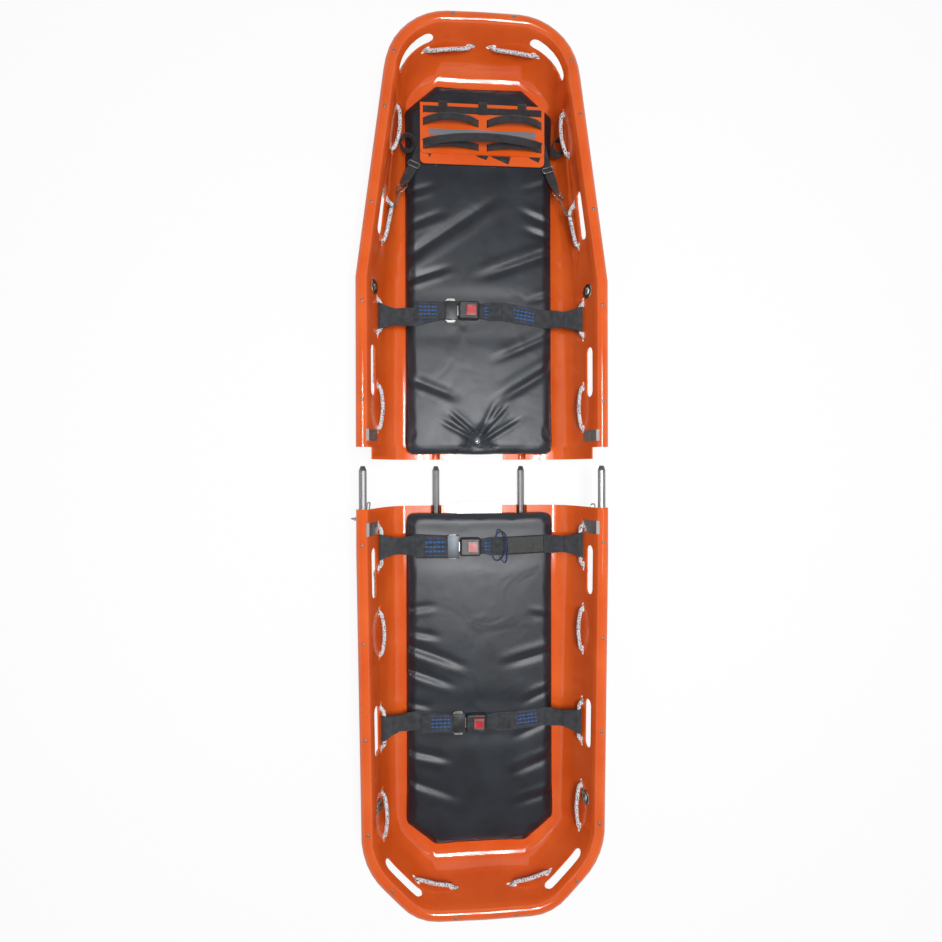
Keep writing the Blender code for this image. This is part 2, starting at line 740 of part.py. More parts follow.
def runner_cutters(half):
    """Skids to add under the floor, and the grooves to cut in them."""
    end = FOOT_GROOVE_END if half is FOOT else HEAD_GROOVE_END
    skid = skid_profile(FLOOR_TOP - WALL / 2)
    wide, narrow = groove_profile(GROOVE_R, 0.05), groove_profile(PIN_R + SLIDE_GAP, 0.05)
    skids = bmesh.new()
    grooves = bmesh.new()
    for _, side in SIDES:
        start = JOGGLE - 0.0015 if half is FOOT else 0.0005
        toe = [(x, max(z, 0.018)) for x, z in skid]
        along_runner(skids, half, side, [(start, skid), (end - 0.03, skid), (end, toe)])
        if half is FOOT:
            along_runner(grooves, half, side, [(-0.04, narrow), (GROOVE_STEP, narrow), (GROOVE_STEP, wide),
                                               (end - 0.05, wide)])
        else:
            along_runner(grooves, half, side, [(-0.01, wide), (end - 0.05, wide)])
    if half is FOOT:
        add_box(grooves, half.world(-NOTCH_HALF, -0.04, 0.02), half.world(NOTCH_HALF, JOGGLE + 0.0005, 0.05))
    return add_cutter(half.name + "_skids", skids), add_cutter(half.name + "_grooves", grooves)


def make_shell(half, parent):
    shell = add_object(half.name + "_shell", shell_sheet(half), MATERIALS["orange"], parent, sharp=50)
    flip_up(shell)
    solid = shell.modifiers.new("wall", "SOLIDIFY")
    solid.thickness = WALL
    solid.offset = -1.0
    solid.use_even_offset = True
    skids, grooves = runner_cutters(half)
    use_boolean(shell, "UNION", skids)
    if half is FOOT:
        troughs = bmesh.new()
        trough = groove_profile(GROOVE_R - SLIDE_GAP, FLOOR_TOP + TONGUE_GAP + WALL / 2)
        for _, side in SIDES:
            along_runner(troughs, half, side, [(0.0005 - TONGUE_LENGTH, trough), (JOGGLE - 0.0005, trough)])
        use_boolean(shell, "UNION", add_cutter("foot_troughs", troughs))
    use_boolean(shell, "DIFFERENCE", grooves)
    use_boolean(shell, "DIFFERENCE", wall_cutter(half))
    return shell


def flip_up(obj):
    """Turn a sheet over if its largest faces look down."""
    mesh = obj.data
    if sum(p.normal.z * p.area for p in mesh.polygons) < 0:
        mesh.flip_normals()


# Tubes, pins and the centre plate

def make_rim_tube(half, parent):
    """The bent tube in the rim roll, with an open bore at each joint end for a pin."""
    bm = bmesh.new()
    course = [(1, i) for i in range(half.count)] + [(-1, i) for i in reversed(range(half.count - 1))]
    bore_depth = PIN_REACH + 0.012
    bore_r = PIN_R + SLIDE_GAP if half is FOOT else PIN_R + GAP
    points = [half.world(side * half.rim_point(i, ROLL_R).x, half.rim_point(i, ROLL_R).y, TUBE_Z)
              for side, i in course]
    rings = []
    for k, point in enumerate(points):
        ahead = points[min(k + 1, len(points) - 1)] - points[max(k - 1, 0)]
        if k in (0, len(points) - 1):
            ahead = Vector((0.0, 1.0, 0.0)) * (half.sign if k == 0 else -half.sign)
        out = ahead.normalized().cross(Vector((0, 0, 1)))
        angles = [math.radians(30 * n) for n in range(12)]
        rings.append([bm.verts.new(point + (out * math.cos(a) + Vector((0, 0, 1)) * math.sin(a)) * TUBE_R)
                      for a in angles])
    for a, b in zip(rings, rings[1:]):
        for n in range(12):
            m = (n + 1) % 12
            bm.faces.new((a[n], a[m], b[m], b[n]))
    for k in (0, -1):
        end = points[k]
        bore = []
        for depth in (0.0, bore_depth):
            inward = Vector((0.0, half.sign * depth, 0.0))
            bore.append([bm.verts.new(end + inward + (v.co - end) * bore_r / TUBE_R) for v in rings[k]])
        for n in range(12):
            m = (n + 1) % 12
            bm.faces.new((rings[k][n], rings[k][m], bore[0][m], bore[0][n]))
            bm.faces.new((bore[0][n], bore[0][m], bore[1][m], bore[1][n]))
        bm.faces.new(bore[1])
    return add_object(half.name + "_rim_tube", bm, MATERIALS["tube"], parent)


def revolve(bm, half, x, z, profile, sides=12):
    """Turn (s, radius) pairs round a line along Y; the first and last pair are caps."""
    loops = []
    for s, radius in profile:
        centre = half.world(x, s, z)
        loops.append([bm.verts.new(centre + Vector((math.cos(math.radians(30 * n)), 0,
                                                    math.sin(math.radians(30 * n)))) * radius)
                      for n in range(sides)])
    for a, b in zip(loops, loops[1:]):
        for n in range(sides):
            m = (n + 1) % sides
            bm.faces.new((a[n], a[m], b[m], b[n]))
    return loops


def make_pins():
    for label, side in SIDES:
        tip = [(PIN_TAPER - PIN_REACH, PIN_R), (-PIN_REACH, PIN_TIP_R)]
        bm = bmesh.new()
        loops = revolve(bm, HEAD, side * (HALF_WIDTH - ROLL_R), TUBE_Z, [(PIN_HELD, PIN_R)] + tip)
        bm.faces.new(loops[0])
        bm.faces.new(loops[-1])
        add_object("rim_pin_" + label, bm, MATERIALS["steel"])
        bm = bmesh.new()
        socket_s = TONGUE_LENGTH + 0.004
        profile = [(socket_s + SOCKET_LENGTH, SOCKET_R), (socket_s, SOCKET_R), (socket_s, PIN_R)] + tip
        loops = revolve(bm, HEAD, side * RUNNER_X, RUNNER_Z, profile)
        bm.faces.new(loops[0])
        bm.faces.new(loops[-1])
        add_object("runner_pin_" + label, bm, MATERIALS["steel"])


def make_runner_tubes(parent):
    for label, side in SIDES:
        bm = bmesh.new()
        start = JOGGLE + 0.003
        end = start + SOCKET_LENGTH
        bore = PIN_R + SLIDE_GAP
        profile = [(start, SOCKET_R), (end, SOCKET_R), (end, bore), (start, bore), (start, SOCKET_R)]
        revolve(bm, FOOT, side * RUNNER_X, RUNNER_Z, profile)
        add_object("runner_tube_" + label, bm, MATERIALS["tube"], parent)


def make_centre_plate():
    bm = bmesh.new()
    outline = [(-PLATE_HALF, -PLATE_PAST_EDGE + 0.004), (-PLATE_HALF + 0.004, -PLATE_PAST_EDGE),
               (PLATE_HALF - 0.004, -PLATE_PAST_EDGE), (PLATE_HALF, -PLATE_PAST_EDGE + 0.004),
               (PLATE_HALF, PLATE_LENGTH - PLATE_PAST_EDGE), (-PLATE_HALF, PLATE_LENGTH - PLATE_PAST_EDGE)]
    base = FLOOR_TOP + GAP
    add_prism(bm, [HEAD.world(x, s, base) for x, s in outline],
              [HEAD.world(x, s, base + PLATE_THICK) for x, s in outline])
    add_object("centre_plate", bm, MATERIALS["steel"])


# Rope and eyelets

def rope_route(half):
    """The rope's centre line round the half, with its radius at each point."""
    stretches = lacing_stretches(half)
    knot_off = -(WALL + KNOT_R + GAP)
    knot_level = ROPE_LEVEL + 0.07
    knot = ((0.017, 0.0, 0.5), (0.014, 0.0, 1.0), (0.008, -0.01, 1.0))
    neck = (0.002, -0.0095, ROPE_LEVEL + 0.02, ROPE_R)
    first, last = stretches[0][0], stretches[-1][1]
    route = [(first - a, knot_off, knot_level + b, KNOT_R * c) for a, b, c in knot]
    route.append((first - neck[0], *neck[1:]))
    before = None
    for start, end, held in stretches:
        if before is not None:
            steps = max(2, round((start - before) / OUTSIDE_STEP))
            for k in range(1, steps):
                route.append((lerp(before, start, k / steps), -ROPE_OUTSIDE, ROPE_LEVEL + 0.02, ROPE_R))
            route.append((start - ROPE_CROSS, -ROPE_OUTSIDE, ROPE_LEVEL, ROPE_R))
        route.append((start, -WALL / 2, ROPE_LEVEL, ROPE_R))
        route.append((start + ROPE_CROSS, ROPE_INSIDE, ROPE_LEVEL, ROPE_R))
        if held == STRAP:
            route.append((start + ANCHOR_EASE, ANCHOR_OFF, ROPE_LEVEL, ROPE_R))
            route.append((end - ANCHOR_EASE, ANCHOR_OFF, ROPE_LEVEL, ROPE_R))
        elif held:
            for shift in (-0.0075, 0.0075):
                route.append((lerp(start, end, held) + shift, HOOK_PULL, ROPE_LEVEL, ROPE_R))
        else:
            route.append(((start + end) / 2, ROPE_INSIDE + ROPE_BOW, ROPE_LEVEL, ROPE_R))
        route.append((end - ROPE_CROSS, ROPE_INSIDE, ROPE_LEVEL, ROPE_R))
        route.append((end, -WALL / 2, ROPE_LEVEL, ROPE_R))
        if end != last:
            route.append((end + ROPE_CROSS, -ROPE_OUTSIDE, ROPE_LEVEL, ROPE_R))
        before = end
    route.append((last + neck[0], *neck[1:]))
    route += [(last + a, knot_off, knot_level + b, KNOT_R * c) for a, b, c in reversed(knot)]
    points = [half.on_wall(1, distance, level, off) for distance, off, level, _ in route]
    return points, [r for _, _, _, r in route]


def rope_at(half, side, y):
    """Centre and direction of the rope where it passes a place along the stretcher."""
    points, _ = rope_route(half)
    for a, b in zip(points[3:], points[4:-3]):
        if a.x * side > 0.15 and b.x * side > 0.15 and min(a.y, b.y) <= y <= max(a.y, b.y):
            return a.lerp(b, (y - a.y) / (b.y - a.y)), (b - a).normalized()
    raise ValueError("the rope does not pass there")


def make_rope(half, parent):
    points, radii = rope_route(half)
    bm = bmesh.new()
    sweep_tube(bm, points, ROPE_R, sides=6, radii=radii)
    return add_object(half.name + "_rope", bm, MATERIALS["rope"], parent, sharp=80)


def make_eyelets(half, parent):
    s = FOOT_EYELET_S if half is FOOT else HEAD_EYELET_S
    sleeve = EYELET_BORE + EYELET_FLANGE
    outer_face = -WALL - EYELET_STAND_OUT
    profile = [(EYELET_BORE, EYELET_STAND_IN + EYELET_FLANGE), (EYELET_R - 0.002, EYELET_STAND_IN + EYELET_FLANGE),
               (EYELET_R, EYELET_STAND_IN), (sleeve, EYELET_STAND_IN), (sleeve, outer_face),
               (EYELET_R, outer_face), (EYELET_R - 0.002, outer_face - EYELET_FLANGE),
               (EYELET_BORE, outer_face - EYELET_FLANGE)]
    for label, side in SIDES:
        base, to_joint, outward, up = half.wall_frame(side, s, EYELET_LEVEL)
        centre = base - outward * WALL
        bm = bmesh.new()
        loops = []
        for radius, off in profile:
            angles = [2 * math.pi * k / 14 for k in range(14)]
            hub = centre - outward * off
            loops.append([bm.verts.new(hub + (to_joint * math.cos(a) + up * math.sin(a)) * radius) for a in angles])
        for a, b in zip(loops, loops[1:] + loops[:1]):
            for k in range(14):
                m = (k + 1) % 14
                bm.faces.new((a[k], a[m], b[m], b[k]))
        add_object(f"{half.name}_eyelet_{label}", bm, MATERIALS["steel"], parent)


# Draw latches

def placed(frame, a, n, b):
    """World point of a wall frame: a towards the joint, n outwards, b up."""
    base, to_joint, outward, up = frame
    return base + to_joint * a + outward * n + up * b


def frame_prism(bm, frame, outline, low, high):
    """Extrude an (a, n) outline between two heights b."""
    add_prism(bm, [placed(frame, a, n, low) for a, n in outline], [placed(frame, a, n, high) for a, n in outline])


def frame_box(bm, frame, a, n, b):
    frame_prism(bm, frame, [(a[0], n[0]), (a[1], n[0]), (a[1], n[1]), (a[0], n[1])], b[0], b[1])


def make_latch_base(frame, label):
    """The plate on the wall, with a lug and a stub pin that the lever's cheeks turn on."""
    bm = bmesh.new()
    high = LATCH_HALF_HEIGHT
    reach = (LATCH_PIVOT_S - LATCH_BASE_S[1], LATCH_PIVOT_S - LATCH_BASE_S[0])
    frame_box(bm, frame, reach, (GAP, GAP + LATCH_PLATE), (-high, high))
    base = add_object("latch_base_" + label, bm, MATERIALS["steel"])
    lug = bmesh.new()
    foot = GAP + LATCH_PLATE / 2
    outline = [(0.007, foot)] + arc(0.0, LATCH_PIVOT_OUT, LUG_R, 0, 180, 5) + [(-0.007, foot)]
    frame_prism(lug, frame, outline, -LUG_HALF, LUG_HALF)
    use_boolean(base, "UNION", add_cutter("latch_lug_" + label, lug))
    pin = bmesh.new()
    reach = LEVER_HALF_HEIGHT - GAP
    add_rod(pin, placed(frame, 0, LATCH_PIVOT_OUT, -reach), placed(frame, 0, LATCH_PIVOT_OUT, reach), LATCH_PIN_R)
    use_boolean(base, "UNION", add_cutter("latch_pin_" + label, pin))


def make_lever(frame, label, opened, hinge):
    """The handle; opened is its angle from lying back along the wall."""
    turn = math.radians(180 - opened)
    half = LEVER_THICK / 2
    flat = arc(0.0, 0.0, half, 90, 270, 6) + [(LEVER_LENGTH - 0.012, -half), (LEVER_LENGTH, -half + 0.002),
                                              (LEVER_LENGTH, -half + 0.0045), (LEVER_LENGTH - 0.012, half)]
    swung = [(x * math.cos(turn) - y * math.sin(turn), x * math.sin(turn) + y * math.cos(turn)) for x, y in flat]
    outline = [(a, n + LATCH_PIVOT_OUT) for a, n in swung]
    bm = bmesh.new()
    frame_prism(bm, frame, outline, -LEVER_HALF_HEIGHT, LEVER_HALF_HEIGHT)
    lever = add_object("latch_lever_" + label, bm, MATERIALS["steel"], hinge)
    holes = bmesh.new()
    arm = (BAIL_ARM * math.cos(turn), LATCH_PIVOT_OUT + BAIL_ARM * math.sin(turn))
    for (a, n), radius in (((0.0, LATCH_PIVOT_OUT), LATCH_PIN_R + GAP), (arm, BAIL_WIRE_R + 0.00035)):
        add_rod(holes, placed(frame, a, n, -0.01), placed(frame, a, n, 0.01), radius)
    use_boolean(lever, "DIFFERENCE", add_cutter("latch_holes_" + label, holes))
    slot = bmesh.new()
    box = [(-0.01, -0.01), (CHEEK_SLOT, -0.01), (CHEEK_SLOT, 0.01), (-0.01, 0.01)]
    swung = [(x * math.cos(turn) - y * math.sin(turn), x * math.sin(turn) + y * math.cos(turn)) for x, y in box]
    width = LUG_HALF + GAP
    frame_prism(slot, frame, [(a, n + LATCH_PIVOT_OUT) for a, n in swung], -width, width)
    use_boolean(lever, "DIFFERENCE", add_cutter("latch_slot_" + label, slot))
    return arm


def make_bail(frame, label, arm, hinge):
    far_n = BAIL_END_OUT
    far_a = arm[0] + math.sqrt(BAIL_LENGTH ** 2 - (arm[1] - far_n) ** 2)
    wide, corner = BAIL_HALF_WIDTH, 0.003
    flat = [(0.0, 0.0038), (0.0, wide - corner), (0.02, wide), (0.07, wide),
            (0.93, wide), (1.0, wide - corner), (1.0, 0.0)]
    course = flat + [(share, -b) for share, b in reversed(flat[:-1])]
    points = [placed(frame, lerp(arm[0], far_a, share), lerp(arm[1], far_n, share), b) for share, b in course]
    bm = bmesh.new()
    sweep_tube(bm, points, BAIL_WIRE_R, sides=8)
    add_object("latch_bail_" + label, bm, MATERIALS["steel"], hinge, sharp=60)


def make_catch(label, side, parent):
    frame = FOOT.wall_frame(side, 0.030, LATCH_LEVEL)
    bm = bmesh.new()
    top = 0.0105
    outline = [(0.0295, GAP), (0.0295, top), (0.019, top), (0.019, top - 0.0022), (0.026, top - 0.0022),
               (0.026, GAP + 0.0022), (-0.004, GAP + 0.0022), (-0.004, GAP)]
    frame_prism(bm, frame, outline, -CATCH_HALF_HEIGHT, CATCH_HALF_HEIGHT)
    add_object("latch_catch_" + label, bm, MATERIALS["steel"], parent)


def make_backing(half, label, side, reach, parent):
    """A bent plate inside the wall's top, behind a latch."""
    section = [half.wall_station(0, t) for t in (0.17, 0.085, 0.0)]
    line = [(p.x, p.z) for p in section]
    for inset, height in (roll_levels()[-1], roll_levels()[-2]):
        line.append((HALF_WIDTH - inset, height))
    near, far = offset_line(line, 0.0006), offset_line(line, 0.0006 + BACKING_THICK)
    outline = near + far[::-1]
    bm = bmesh.new()
    add_prism(bm, [half.world(side * x, reach[0], z) for x, z in outline],
              [half.world(side * x, reach[1], z) for x, z in outline])
    add_object(f"{half.name}_backing_{label}", bm, MATERIALS["steel"], parent)


def offset_line(line, off):
    """Move a section line to its inner side by off, with mitred corners."""
    moved = []
    for i, point in enumerate(line):
        point = Vector(point)
        ahead = Vector(line[min(i + 1, len(line) - 1)]) - point
        behind = point - Vector(line[max(i - 1, 0)])
        ahead = ahead.normalized() if ahead.length else behind.normalized()
        behind = behind.normalized() if behind.length else ahead
        along = (ahead + behind).normalized()
        normal = Vector((-along.y, along.x))
        moved.append(tuple(point + normal * off / along.dot(ahead)))
    return moved


def make_latches(foot_half):
    for label, side in SIDES:
        frame = HEAD.wall_frame(side, LATCH_PIVOT_S, LATCH_LEVEL)
        make_latch_base(frame, label)
        opened = LEFT_LEVER_OPEN if side < 0 else 0.0
        lever_hinge = make_empty("latch_lever_axis_" + label, placed(frame, 0, LATCH_PIVOT_OUT, 0))
        arm = make_lever(frame, label, opened, lever_hinge)
        bail_hinge = make_empty("latch_bail_axis_" + label, placed(frame, arm[0], arm[1], 0))
        make_bail(frame, label, arm, bail_hinge)
        make_catch(label, side, foot_half)
        make_backing(HEAD, label, side, BACKING_HEAD_S, None)
        make_backing(FOOT, label, side, BACKING_FOOT_S, foot_half)


# Pads

def pad_outline(pad, inset):
    """Right-hand points of the pad's plan from its joint edge to its far edge, corners rounded."""
    w, r = PAD_HALF, PAD_CORNER_R
    corners = [(w, pad["start"]), (w, pad["chamfer"]), (pad["end_half"], pad["end"])]
    points = [Vector((w - r + (r - inset) * math.sin(a), pad["start"] + r - (r - inset) * math.cos(a)))
              for a in [math.radians(90 * k / 4) for k in range(5)]]
    for k in range(1, 5):
        points.append(Vector((w - inset, lerp(pad["start"] + r, pad["chamfer"] - 0.03, k / 4))))
    slant = Vector(corners[2]) - Vector(corners[1])
    normal = Vector((slant.y, -slant.x)).normalized()
    lean = math.atan2(normal.y, normal.x)
    reach = math.tan(lean / 2)
    start = Vector((w - inset, pad["chamfer"] - inset * reach))
    end_reach = math.tan((math.pi / 2 - lean) / 2)
    end = Vector((pad["end_half"] - inset * end_reach, pad["end"] - inset))
    points += [start, start.lerp(end, 0.5), end]
    return points


def pad_lift(pad, s):
    """How far the pad's underside is raised near the joint."""
    low, high = pad["lift"]
    return PAD_LIFT * clamp((high - s) / (high - low), 0.0, 1.0)


def pad_top(x):
    """Height of a pad's top surface."""
    return PAD_BASE + PAD_THICK + PAD_CROWN * (1 - (clamp(abs(x) / (PAD_HALF - 0.023), 0, 1)) ** 2)


def make_pad(half, pad, parent):
    bm = bmesh.new()
    columns = 6
    loops = []
    for inset, height in PAD_SECTION:
        side = pad_outline(pad, inset)
        near = [Vector((lerp(-side[0].x, side[0].x, k / columns), side[0].y)) for k in range(1, columns)]
        far = [Vector((lerp(side[-1].x, -side[-1].x, k / columns), side[-1].y)) for k in range(1, columns)]
        mirrored = [Vector((-p.x, p.y)) for p in reversed(side)]
        ring = []
        for p in near + side + far + mirrored:
            z = PAD_BASE + height + pad_lift(pad, p.y) * (1 - height / PAD_THICK)
            ring.append(bm.verts.new(half.world(p.x, p.y, z)))
        loops.append(ring)
    count = len(loops[0])
    for a, b in zip(loops, loops[1:]):
        for k in range(count):
            m = (k + 1) % count
            bm.faces.new((a[k], a[m], b[m], b[k]))
    rows = len(pad_outline(pad, 0.0))
    for ring, top in ((loops[0], False), (loops[-1], True)):
        fill_pad(bm, ring, rows, columns, pad, half, top)
    return add_object(half.name + "_pad", bm, MATERIALS["vinyl"], parent, sharp=60)


def fill_pad(bm, ring, rows, columns, pad, half, top):
    """Rows of quads between a pad loop's two long sides."""
    near, right = ring[:columns - 1], ring[columns - 1:columns - 1 + rows]
    far = ring[columns - 1 + rows:2 * columns - 2 + rows]
    left = list(reversed(ring[2 * columns - 2 + rows:]))
    grid = [[left[0]] + near + [right[0]]]
    for i in range(1, rows - 1):
        line = [left[i]]
        for k in range(1, columns):
            co = left[i].co.lerp(right[i].co, k / columns)
            if top:
                co.z = pad_top(co.x)
            line.append(bm.verts.new(co))
        grid.append(line + [right[i]])
    grid.append([left[-1]] + list(reversed(far)) + [right[-1]])
    for a, b in zip(grid, grid[1:]):
        for k in range(columns):
            bm.faces.new((a[k], a[k + 1], b[k + 1], b[k]))


# Cross straps

def rope_loop(centre, to_strap, stack_side):
    """Points of a band round the rope: in on the stack side, round the back, out on the other."""
    u = to_strap.normalized()
    v = stack_side.normalized()
    radius = (ROPE_R + LOOP_GAP + WEB_THICK / 2) * 1.04
    points = []
    for degrees in (60, 100, 140, 180, 220, 260, 300):
        a = math.radians(degrees)
        points.append(centre + (u * math.cos(a) + v * math.sin(a)) * radius)
    return points


def strap_side(half, strap, side):
    """Band from the rope to the pad's top: the loop's points, then the main run's."""
    y = half.world(0, strap["s"], 0).y
    first, last, _ = lacing_stretches(half)[strap["stretch"]]
    anchor = half.on_wall(side, (first + last) / 2, ROPE_LEVEL, ANCHOR_OFF)
    shoulder_z = pad_top(PAD_HALF) + WEB_SEAT + 0.0035
    shoulder = Vector((side * (PAD_HALF - 0.0185), lerp(anchor.y, y, 0.35), shoulder_z))
    u = (shoulder - anchor).normalized()
    v = Vector((-side * -u.z, 0.0, side * -u.x)).normalized()
    if v.z < 0:
        v = -v
    step = WEB_THICK + GAP
    loop = rope_loop(anchor, u, v)
    stack = [anchor + u * 0.046 + v * (step - 0.0035), anchor + u * 0.022 + v * (step - 0.0025)]
    run = [anchor + u * 0.022 - v * 0.0025, anchor + u * 0.046 - v * 0.0035]
    on_pad = PAD_HALF - 0.0285
    over = [shoulder + Vector((side * 0.006, 0, 0.0035)), Vector((side * on_pad, lerp(anchor.y, y, 0.42), 0))]
    over[1].z = pad_top(on_pad) + WEB_SEAT + WEB_THICK / 2 + 0.0004
    return stack + loop + run + over, y


def web_point(x, y, lift=0.0):
    return Vector((x, y, pad_top(x) + WEB_SEAT + WEB_THICK / 2 + lift))


def make_left_webbing(half, strap, parent):
    course, y = strap_side(half, strap, -1)
    tongue_x = strap["tongue_x"]
    start_x, start_y = course[-1].x, course[-1].y
    for share in (0.3, 0.6):
        x = lerp(start_x, tongue_x - 0.02, share)
        course.append(web_point(x, lerp(start_y, y, share)))
    course.append(web_point(tongue_x - 0.012, y))
    bar = tongue_x + TONGUE_RAIL
    z0 = pad_top(tongue_x) + WEB_SEAT + WEB_THICK / 2
    turn = (TONGUE_PLATE + WEB_THICK) / 2 + GAP + 0.0002
    course.append(Vector((tongue_x, y, z0)))
    course += [Vector((bar + a, y, z0 + turn + b)) for a, b in arc(0.0, 0.0, turn, -90, 90, 4)]
    course.append(Vector((tongue_x, y, z0 + 2 * turn)))
    for back in (0.014, 0.045, FREE_END):
        course.append(web_point(tongue_x - back, y, WEB_THICK + 0.0006))
    bm = bmesh.new()
    add_ribbon(bm, course, Vector((0, 1, 0)), WEB_WIDTH, WEB_THICK)
    add_object(strap["name"] + "_webbing_left", bm, MATERIALS["webbing"], parent, sharp=50)


def make_right_webbing(half, strap, parent):
    course, y = strap_side(half, strap, 1)
    start = course[-1]
    widths = [WEB_WIDTH] * len(course)
    thicks = [WEB_THICK] * len(course)
    box_end, box_start = strap["tongue_x"] + 0.157, strap["tongue_x"] + 0.122
    rear = strap["tongue_x"] + BUCKLE_FROM_TONGUE + BUCKLE_LONG
    for x, wide, thick in ((box_end + 0.003, WEB_WIDTH, WEB_THICK), (box_end, WEB_WIDTH, 2 * WEB_THICK),
                           (box_start, WEB_WIDTH, 2 * WEB_THICK), (rear + 0.010, REAR_WEB, 2 * WEB_THICK),
                           (rear - 0.008, REAR_WEB, 2 * WEB_THICK)):
        share = clamp((start.x - x) / (start.x - box_end), 0.0, 1.0)
        course.append(web_point(x, lerp(start.y, y, share), (thick - WEB_THICK) / 2))
        widths.append(wide)
        thicks.append(thick)
    for k in (-2, -1):
        course[k].z = course[-1].z + 0.0012
    bm = bmesh.new()
    add_ribbon(bm, course, Vector((0, 1, 0)), widths, thicks)
    add_object(strap["name"] + "_webbing_right", bm, MATERIALS["webbing"], parent, sharp=50)


def make_tongue(half, strap, parent):
    x0 = strap["tongue_x"]
    y = half.world(0, strap["s"], 0).y
    z0 = pad_top(x0) + WEB_SEAT + WEB_THICK + GAP + 0.0002
    x1, w, b = x0 + TONGUE_LONG, TONGUE_WIDE / 2, BLADE_WIDE / 2
    right = [(x0, w - 0.006), (x0 + 0.006, w), (x1 - 0.008, w), (x1, b + 0.004), (x1, b),
             (x1 + BLADE_LONG - 0.004, b), (x1 + BLADE_LONG, b - 0.005)]
    outline = right + [(x, -v) for x, v in reversed(right)]
    bm = bmesh.new()
    add_prism(bm, [(x, y + v, z0) for x, v in outline], [(x, y + v, z0 + TONGUE_PLATE) for x, v in outline])
    tongue = add_object(strap["name"] + "_tongue", bm, MATERIALS["steel"], parent)
    window = bmesh.new()
    reach = WEB_WIDTH / 2 + 0.0012
    bar = x0 + TONGUE_RAIL
    add_box(window, (bar, y - reach, z0 - 0.01), (bar + TONGUE_WINDOW, y + reach, z0 + 0.01))
    use_boolean(tongue, "DIFFERENCE", add_cutter(strap["name"] + "_window", window))
    return z0 + TONGUE_PLATE / 2


def make_buckle(half, strap, parent, blade_z):
    x0 = strap["tongue_x"] + BUCKLE_FROM_TONGUE
    x1 = x0 + BUCKLE_LONG
    y = half.world(0, strap["s"], 0).y
    bottom = pad_top(0.0) + WEB_SEAT
    top = bottom + BUCKLE_HIGH
    w = BUCKLE_WIDE / 2
    bm = bmesh.new()
    rings = []
    edges = ((0.003, bottom), (0.0, bottom + 0.003), (0.0, top - 0.005), (0.002, top - 0.0015), (0.005, top))
    for inset, z in edges:
        loop = []
        for cx, cy, start in ((x1, w, 0), (x0, w, 90), (x0, -w, 180), (x1, -w, 270)):
            r = 0.006
            mid_x = cx - r if cx == x1 else cx + r
            mid_y = cy - r if cy > 0 else cy + r
            loop += [(mid_x + a, mid_y + b) for a, b in arc(0, 0, r - min(inset, r - 0.0005), start, start + 90, 2)]
        rings.append([bm.verts.new((a, y + b, z)) for a, b in loop])
    skin(bm, rings)
    buckle = add_object(strap["name"] + "_buckle", bm, MATERIALS["black"], parent)
    cut = bmesh.new()
    button_x = x0 + BUTTON_FROM_BUCKLE
    slack = SLIDE_GAP
    floor = top + BUTTON_PROUD - BUTTON_HIGH - BUTTON_TRAVEL - slack
    add_box(cut, (button_x - slack, y - BUTTON_WIDE / 2 - slack, floor),
            (button_x + BUTTON_LONG + slack, y + BUTTON_WIDE / 2 + slack, top + 0.01))
    add_box(cut, (x0 - 0.01, y - BLADE_WIDE / 2 - 0.001, blade_z - 0.0022),
            (x0 + 0.020, y + BLADE_WIDE / 2 + 0.001, blade_z + 0.0022))
    add_box(cut, (x1 - 0.010, y - REAR_WEB / 2 - 0.0008, bottom + 0.0009),
            (x1 + 0.01, y + REAR_WEB / 2 + 0.0008, bottom + 0.0066))
    use_boolean(buckle, "DIFFERENCE", add_cutter(strap["name"] + "_recesses", cut))
    bm = bmesh.new()
    high = top + BUTTON_PROUD
    corners = [(button_x, y - BUTTON_WIDE / 2), (button_x + BUTTON_LONG, y - BUTTON_WIDE / 2),
               (button_x + BUTTON_LONG, y + BUTTON_WIDE / 2), (button_x, y + BUTTON_WIDE / 2)]
    centre = Vector((button_x + BUTTON_LONG / 2, y))
    rings = []
    for z, shrink in ((high - BUTTON_HIGH, 0.0), (high - 0.001, 0.0), (high, 0.001)):
        loop = [Vector(c) + (centre - Vector(c)).normalized() * shrink for c in corners]
        rings.append([bm.verts.new((p.x, p.y, z)) for p in loop])
    skin(bm, rings)
    slide = make_empty(strap["name"] + "_button_axis", (centre.x, centre.y, high), parent)
    add_object(strap["name"] + "_button", bm, MATERIALS["red"], slide)


def make_strap(half, strap, parent):
    make_left_webbing(half, strap, parent)
    make_right_webbing(half, strap, parent)
    blade_z = make_tongue(half, strap, parent)
    make_buckle(half, strap, parent, blade_z)


# Footrest

def rest_plate(name, length, low, mat, parent):
    """A flat panel from the hinge towards the joint, slotted for the hinge rings."""
    y1 = REST_Y - EDGE_FROM_AXIS
    y0 = y1 - length
    x0, x1 = REST_X - REST_HALF, REST_X + REST_HALF
    r = 0.012
    outline = [(x1, y1), (x0, y1)]
    outline += arc(x0 + r, y0 + r, r, 180, 270, 3) + arc(x1 - r, y0 + r, r, 270, 360, 3)
    bm = bmesh.new()
    add_prism(bm, [(x, y, low) for x, y in outline], [(x, y, low + REST_PLATE) for x, y in outline])
    plate = add_object(name, bm, mat, parent)
    slots = bmesh.new()
    for x in RING_XS:
        wide = RING_WIDE / 2 + SLIDE_GAP
        add_box(slots, (REST_X + x - wide, REST_Y - 0.0068, low - 0.01),
                (REST_X + x + wide, REST_Y - 0.0031, low + 0.01))
    use_boolean(plate, "DIFFERENCE", add_cutter(name + "_slots", slots))
    return plate


